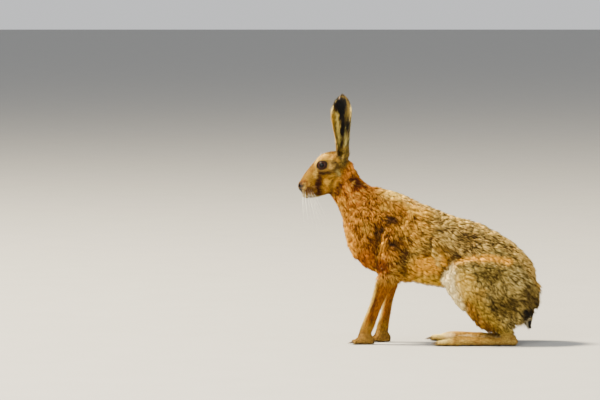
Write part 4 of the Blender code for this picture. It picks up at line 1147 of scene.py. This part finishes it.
for seed, (name, names, side, slot, kind, clump_size, pull, shag) in enumerate(COAT_PIECES):
    mask = np.isin(owner, [coat_names.index(n) for n in names])
    if side is not None:
        mask = mask & (left_side == side)
    settings = {"Clump Size": clump_size, "Clumping": pull, "Shag": shag}
    grow(name, kind, hide.data, mask.astype(float), seed + 1, settings)
for tuft in tufts:
    bpy.data.objects.remove(tuft)

# The eyes: wet balls set behind the lids. Each bulges a little where it is clear, and its large round
# pupil, dark brown iris and darker rim are colours on it.
CORNEA_RISE = 0.0006
CORNEA_FROM = 0.75  # the cosine of the angle at its edge


def build_eye(name, side):
    centre = sum(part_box(name), Vector()) / 2
    radius = (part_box(name)[1].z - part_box(name)[0].z) / 2
    looks = Vector((EYE_LOOKS[0], EYE_LOOKS[1] * -side, EYE_LOOKS[2])).normalized()
    made = bmesh.new()
    bmesh.ops.create_uvsphere(made, u_segments=48, v_segments=32, radius=radius)
    turn = Vector((0, 0, 1)).rotation_difference(looks).to_matrix().to_4x4()
    bmesh.ops.transform(made, matrix=Matrix.Translation(centre) @ turn, verts=made.verts)
    for vert in made.verts:
        ahead = (vert.co - centre).normalized().dot(looks)
        vert.co += looks * CORNEA_RISE * max(0.0, (ahead - CORNEA_FROM) / (1 - CORNEA_FROM))
    mesh = finished_mesh(name + "_ball", made)
    mesh.shade_smooth()
    mesh.materials.append(eye_finish(name, centre, looks))
    eye = link_object(name + "_ball", mesh)
    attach(eye, "root")
    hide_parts(name)


def eye_finish(name, centre, looks):
    material, wires, shader = finish_named(name + "_wet", 0.25, 0.05)
    shader.inputs["Coat Weight"].default_value = 0.10
    shader.inputs["Coat Roughness"].default_value = 0.02
    place = wires.node("ShaderNodeTexCoord", output="Object")
    out = wires.vectors("NORMALIZE", wires.vectors("SUBTRACT", place, tuple(centre)))
    product = {"operation": "DOT_PRODUCT"}
    facing = wires.node("ShaderNodeVectorMath", product, {0: out, 1: tuple(looks)}, "Value")
    fibres = wires.noise(place, 1500, 3)
    iris = wires.mix(fibres, (*srgb(34, 18, 12), 1), (*srgb(60, 31, 18), 1))
    ringed = wires.mix(wires.between(facing, 0.70, 0.60), iris, (*srgb(16, 9, 6), 1))
    pupil = wires.between(facing, 0.865, 0.885)
    wires.feed(shader.inputs["Base Color"], wires.mix(pupil, ringed, (*srgb(5, 4, 4), 1)))
    return material


build_eye("eye_left", -1)
build_eye("eye_right", 1)

# The claws: four to a foot, of dark horn that pales to its tip, narrow, curved, and rooted in the toes.
# They stand where the solids have plain ones, which trim_claws has pulled back into the hide.
CLAW_SIDES = 8
CLAW_STEPS = 7
CLAW_DROP = 0.0030
CLAW_BACK = 0.0045  # how far inside the toe's tip a claw starts
HIND_CLAW = (0.0092, 0.0015)  # length and radius
FORE_CLAW = (0.0080, 0.0013)
HIND_TOE_FROM = 0.01  # only a hind toe's half length is more
CLAW_SHAPE = (0.3, 0.72)  # of its radius: how far a ring leans back, and its half width
CLAW_TAPER = 0.86


def build_claws():
    made = bmesh.new()
    layer = made.verts.layers.float.new("along")
    for x, y, span, half_length, half_height in FEET:
        long, radius = HIND_CLAW if half_length > HIND_TOE_FROM else FORE_CLAW
        for toe in range(4):
            across = toe / 3 - 0.5
            root_x = x + TOE_STAGGER * across * across - half_length + CLAW_BACK + SETTLED
            root = Vector((root_x, y + span * across, half_height * 0.72))
            rings = []
            for step in range(CLAW_STEPS):
                share = step / (CLAW_STEPS - 1)
                middle = root + Vector((-long * share, across * 0.003 * share, -CLAW_DROP * share * share))
                size = radius * (1 - CLAW_TAPER * share ** 1.5)
                ring = []
                for k in range(CLAW_SIDES):
                    angle = math.tau * k / CLAW_SIDES
                    lean, wide = CLAW_SHAPE[0] * math.sin(angle), CLAW_SHAPE[1] * math.cos(angle)
                    ring.append(made.verts.new(middle + Vector((lean, wide, math.sin(angle))) * size))
                    ring[-1][layer] = share
                rings.append(ring)
            skin_rings(made, rings)
            made.faces.new(rings[0])
            made.faces.new(rings[-1])
    bmesh.ops.recalc_face_normals(made, faces=made.faces)
    mesh = finished_mesh("claws", made)
    mesh.shade_smooth()
    material, wires, shader = finish_named("horn", 0.38, 0.45)
    place = wires.node("ShaderNodeTexCoord", output="Object")
    grain = wires.noise(place, 900, 2)
    tone = wires.attribute("along") * 0.8 + grain * 0.3
    horn = wires.mix(tone, (*srgb(27, 21, 16), 1), (*srgb(86, 70, 52), 1))
    wires.feed(shader.inputs["Base Color"], horn)
    mesh.materials.append(material)
    claws = link_object("claws", mesh)
    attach(claws, "root")


build_claws()

# Whiskers: long tapered white hairs in rows on the whisker pads, sweeping out, back and down, and two short
# ones over each eye.
WHISKER_SIDES = 3
WHISKER_STEPS = 9
WHISKER_PAD = (-0.2095, 0.2835)  # x and z of the first whisker of the top row
WHISKER_GAP = 0.0036
WHISKER_RADIUS = 0.00015
WHISKER_TAPER = 0.92
BROW_HAIRS = (-0.1780, 0.0205, 0.3385)  # the first of each brow, on the right side


def bristle(made, root, way, length, radius, droop):
    """A tapered hair that starts along its way and sinks under its own weight."""
    layer = made.verts.layers.float["along"]
    rings = []
    way = Vector(way).normalized()
    for step in range(WHISKER_STEPS):
        share = step / (WHISKER_STEPS - 1)
        middle = root + way * length * share + Vector(droop) * length * share * share
        size = radius * (1 - WHISKER_TAPER * share)
        across = way.cross(Vector((0, 0, 1))).normalized()
        up = across.cross(way)
        ring = []
        for k in range(WHISKER_SIDES):
            angle = math.tau * k / WHISKER_SIDES
            ring.append(made.verts.new(middle + (across * math.cos(angle) + up * math.sin(angle)) * size))
            ring[-1][layer] = share
        rings.append(ring)
    skin_rings(made, rings)
    made.faces.new(rings[0])
    made.faces.new(rings[-1])


def build_whiskers():
    rng = np.random.default_rng(4)
    skin = BVHTree.FromObject(hide, bpy.context.evaluated_depsgraph_get())
    made = bmesh.new()
    made.verts.layers.float.new("along")
    for side in (-1, 1):
        for row in range(3):
            for place in range(5):
                x = WHISKER_PAD[0] + WHISKER_GAP * place + SETTLED
                z = WHISKER_PAD[1] - WHISKER_GAP * row - 0.0006 * place
                root = skin.ray_cast(Vector((x, side * 0.08, z)), Vector((0, -side, 0)))[0]
                if root is None:
                    continue
                back = -0.10 + 0.12 * place + rng.uniform(-0.06, 0.06)
                fall = -0.45 - 0.30 * row + rng.uniform(-0.08, 0.08)
                length = 0.044 + 0.0035 * place + rng.uniform(-0.007, 0.010)
                droop = (0.12, -0.2 * side, -0.50)
                bristle(made, root, (back, side, fall), length, WHISKER_RADIUS, droop)
        for k in range(2):
            root = Vector((BROW_HAIRS[0] + 0.005 * k + SETTLED, side * BROW_HAIRS[1], BROW_HAIRS[2]))
            bristle(made, root, (-0.1 + 0.2 * k, side * 0.7, 0.8), 0.020, 0.00014, (0.2, 0.1 * side, -0.2))
    bmesh.ops.recalc_face_normals(made, faces=made.faces)
    mesh = finished_mesh("whiskers", made)
    material, wires, shader = finish_named("whisker", 0.35, 0.5)
    place = wires.node("ShaderNodeTexCoord", output="Object")
    pale = wires.mix(wires.noise(place, 300), (*srgb(232, 228, 214), 1), (*srgb(250, 248, 240), 1))
    tone = wires.mix(wires.between(wires.attribute("along"), 0.12, 0.4), (*srgb(74, 52, 30), 1), pale)
    wires.feed(shader.inputs["Base Color"], tone)
    mesh.materials.append(material)
    mesh.shade_smooth()
    whiskers = link_object("whiskers", mesh)
    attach(whiskers, "root")


build_whiskers()
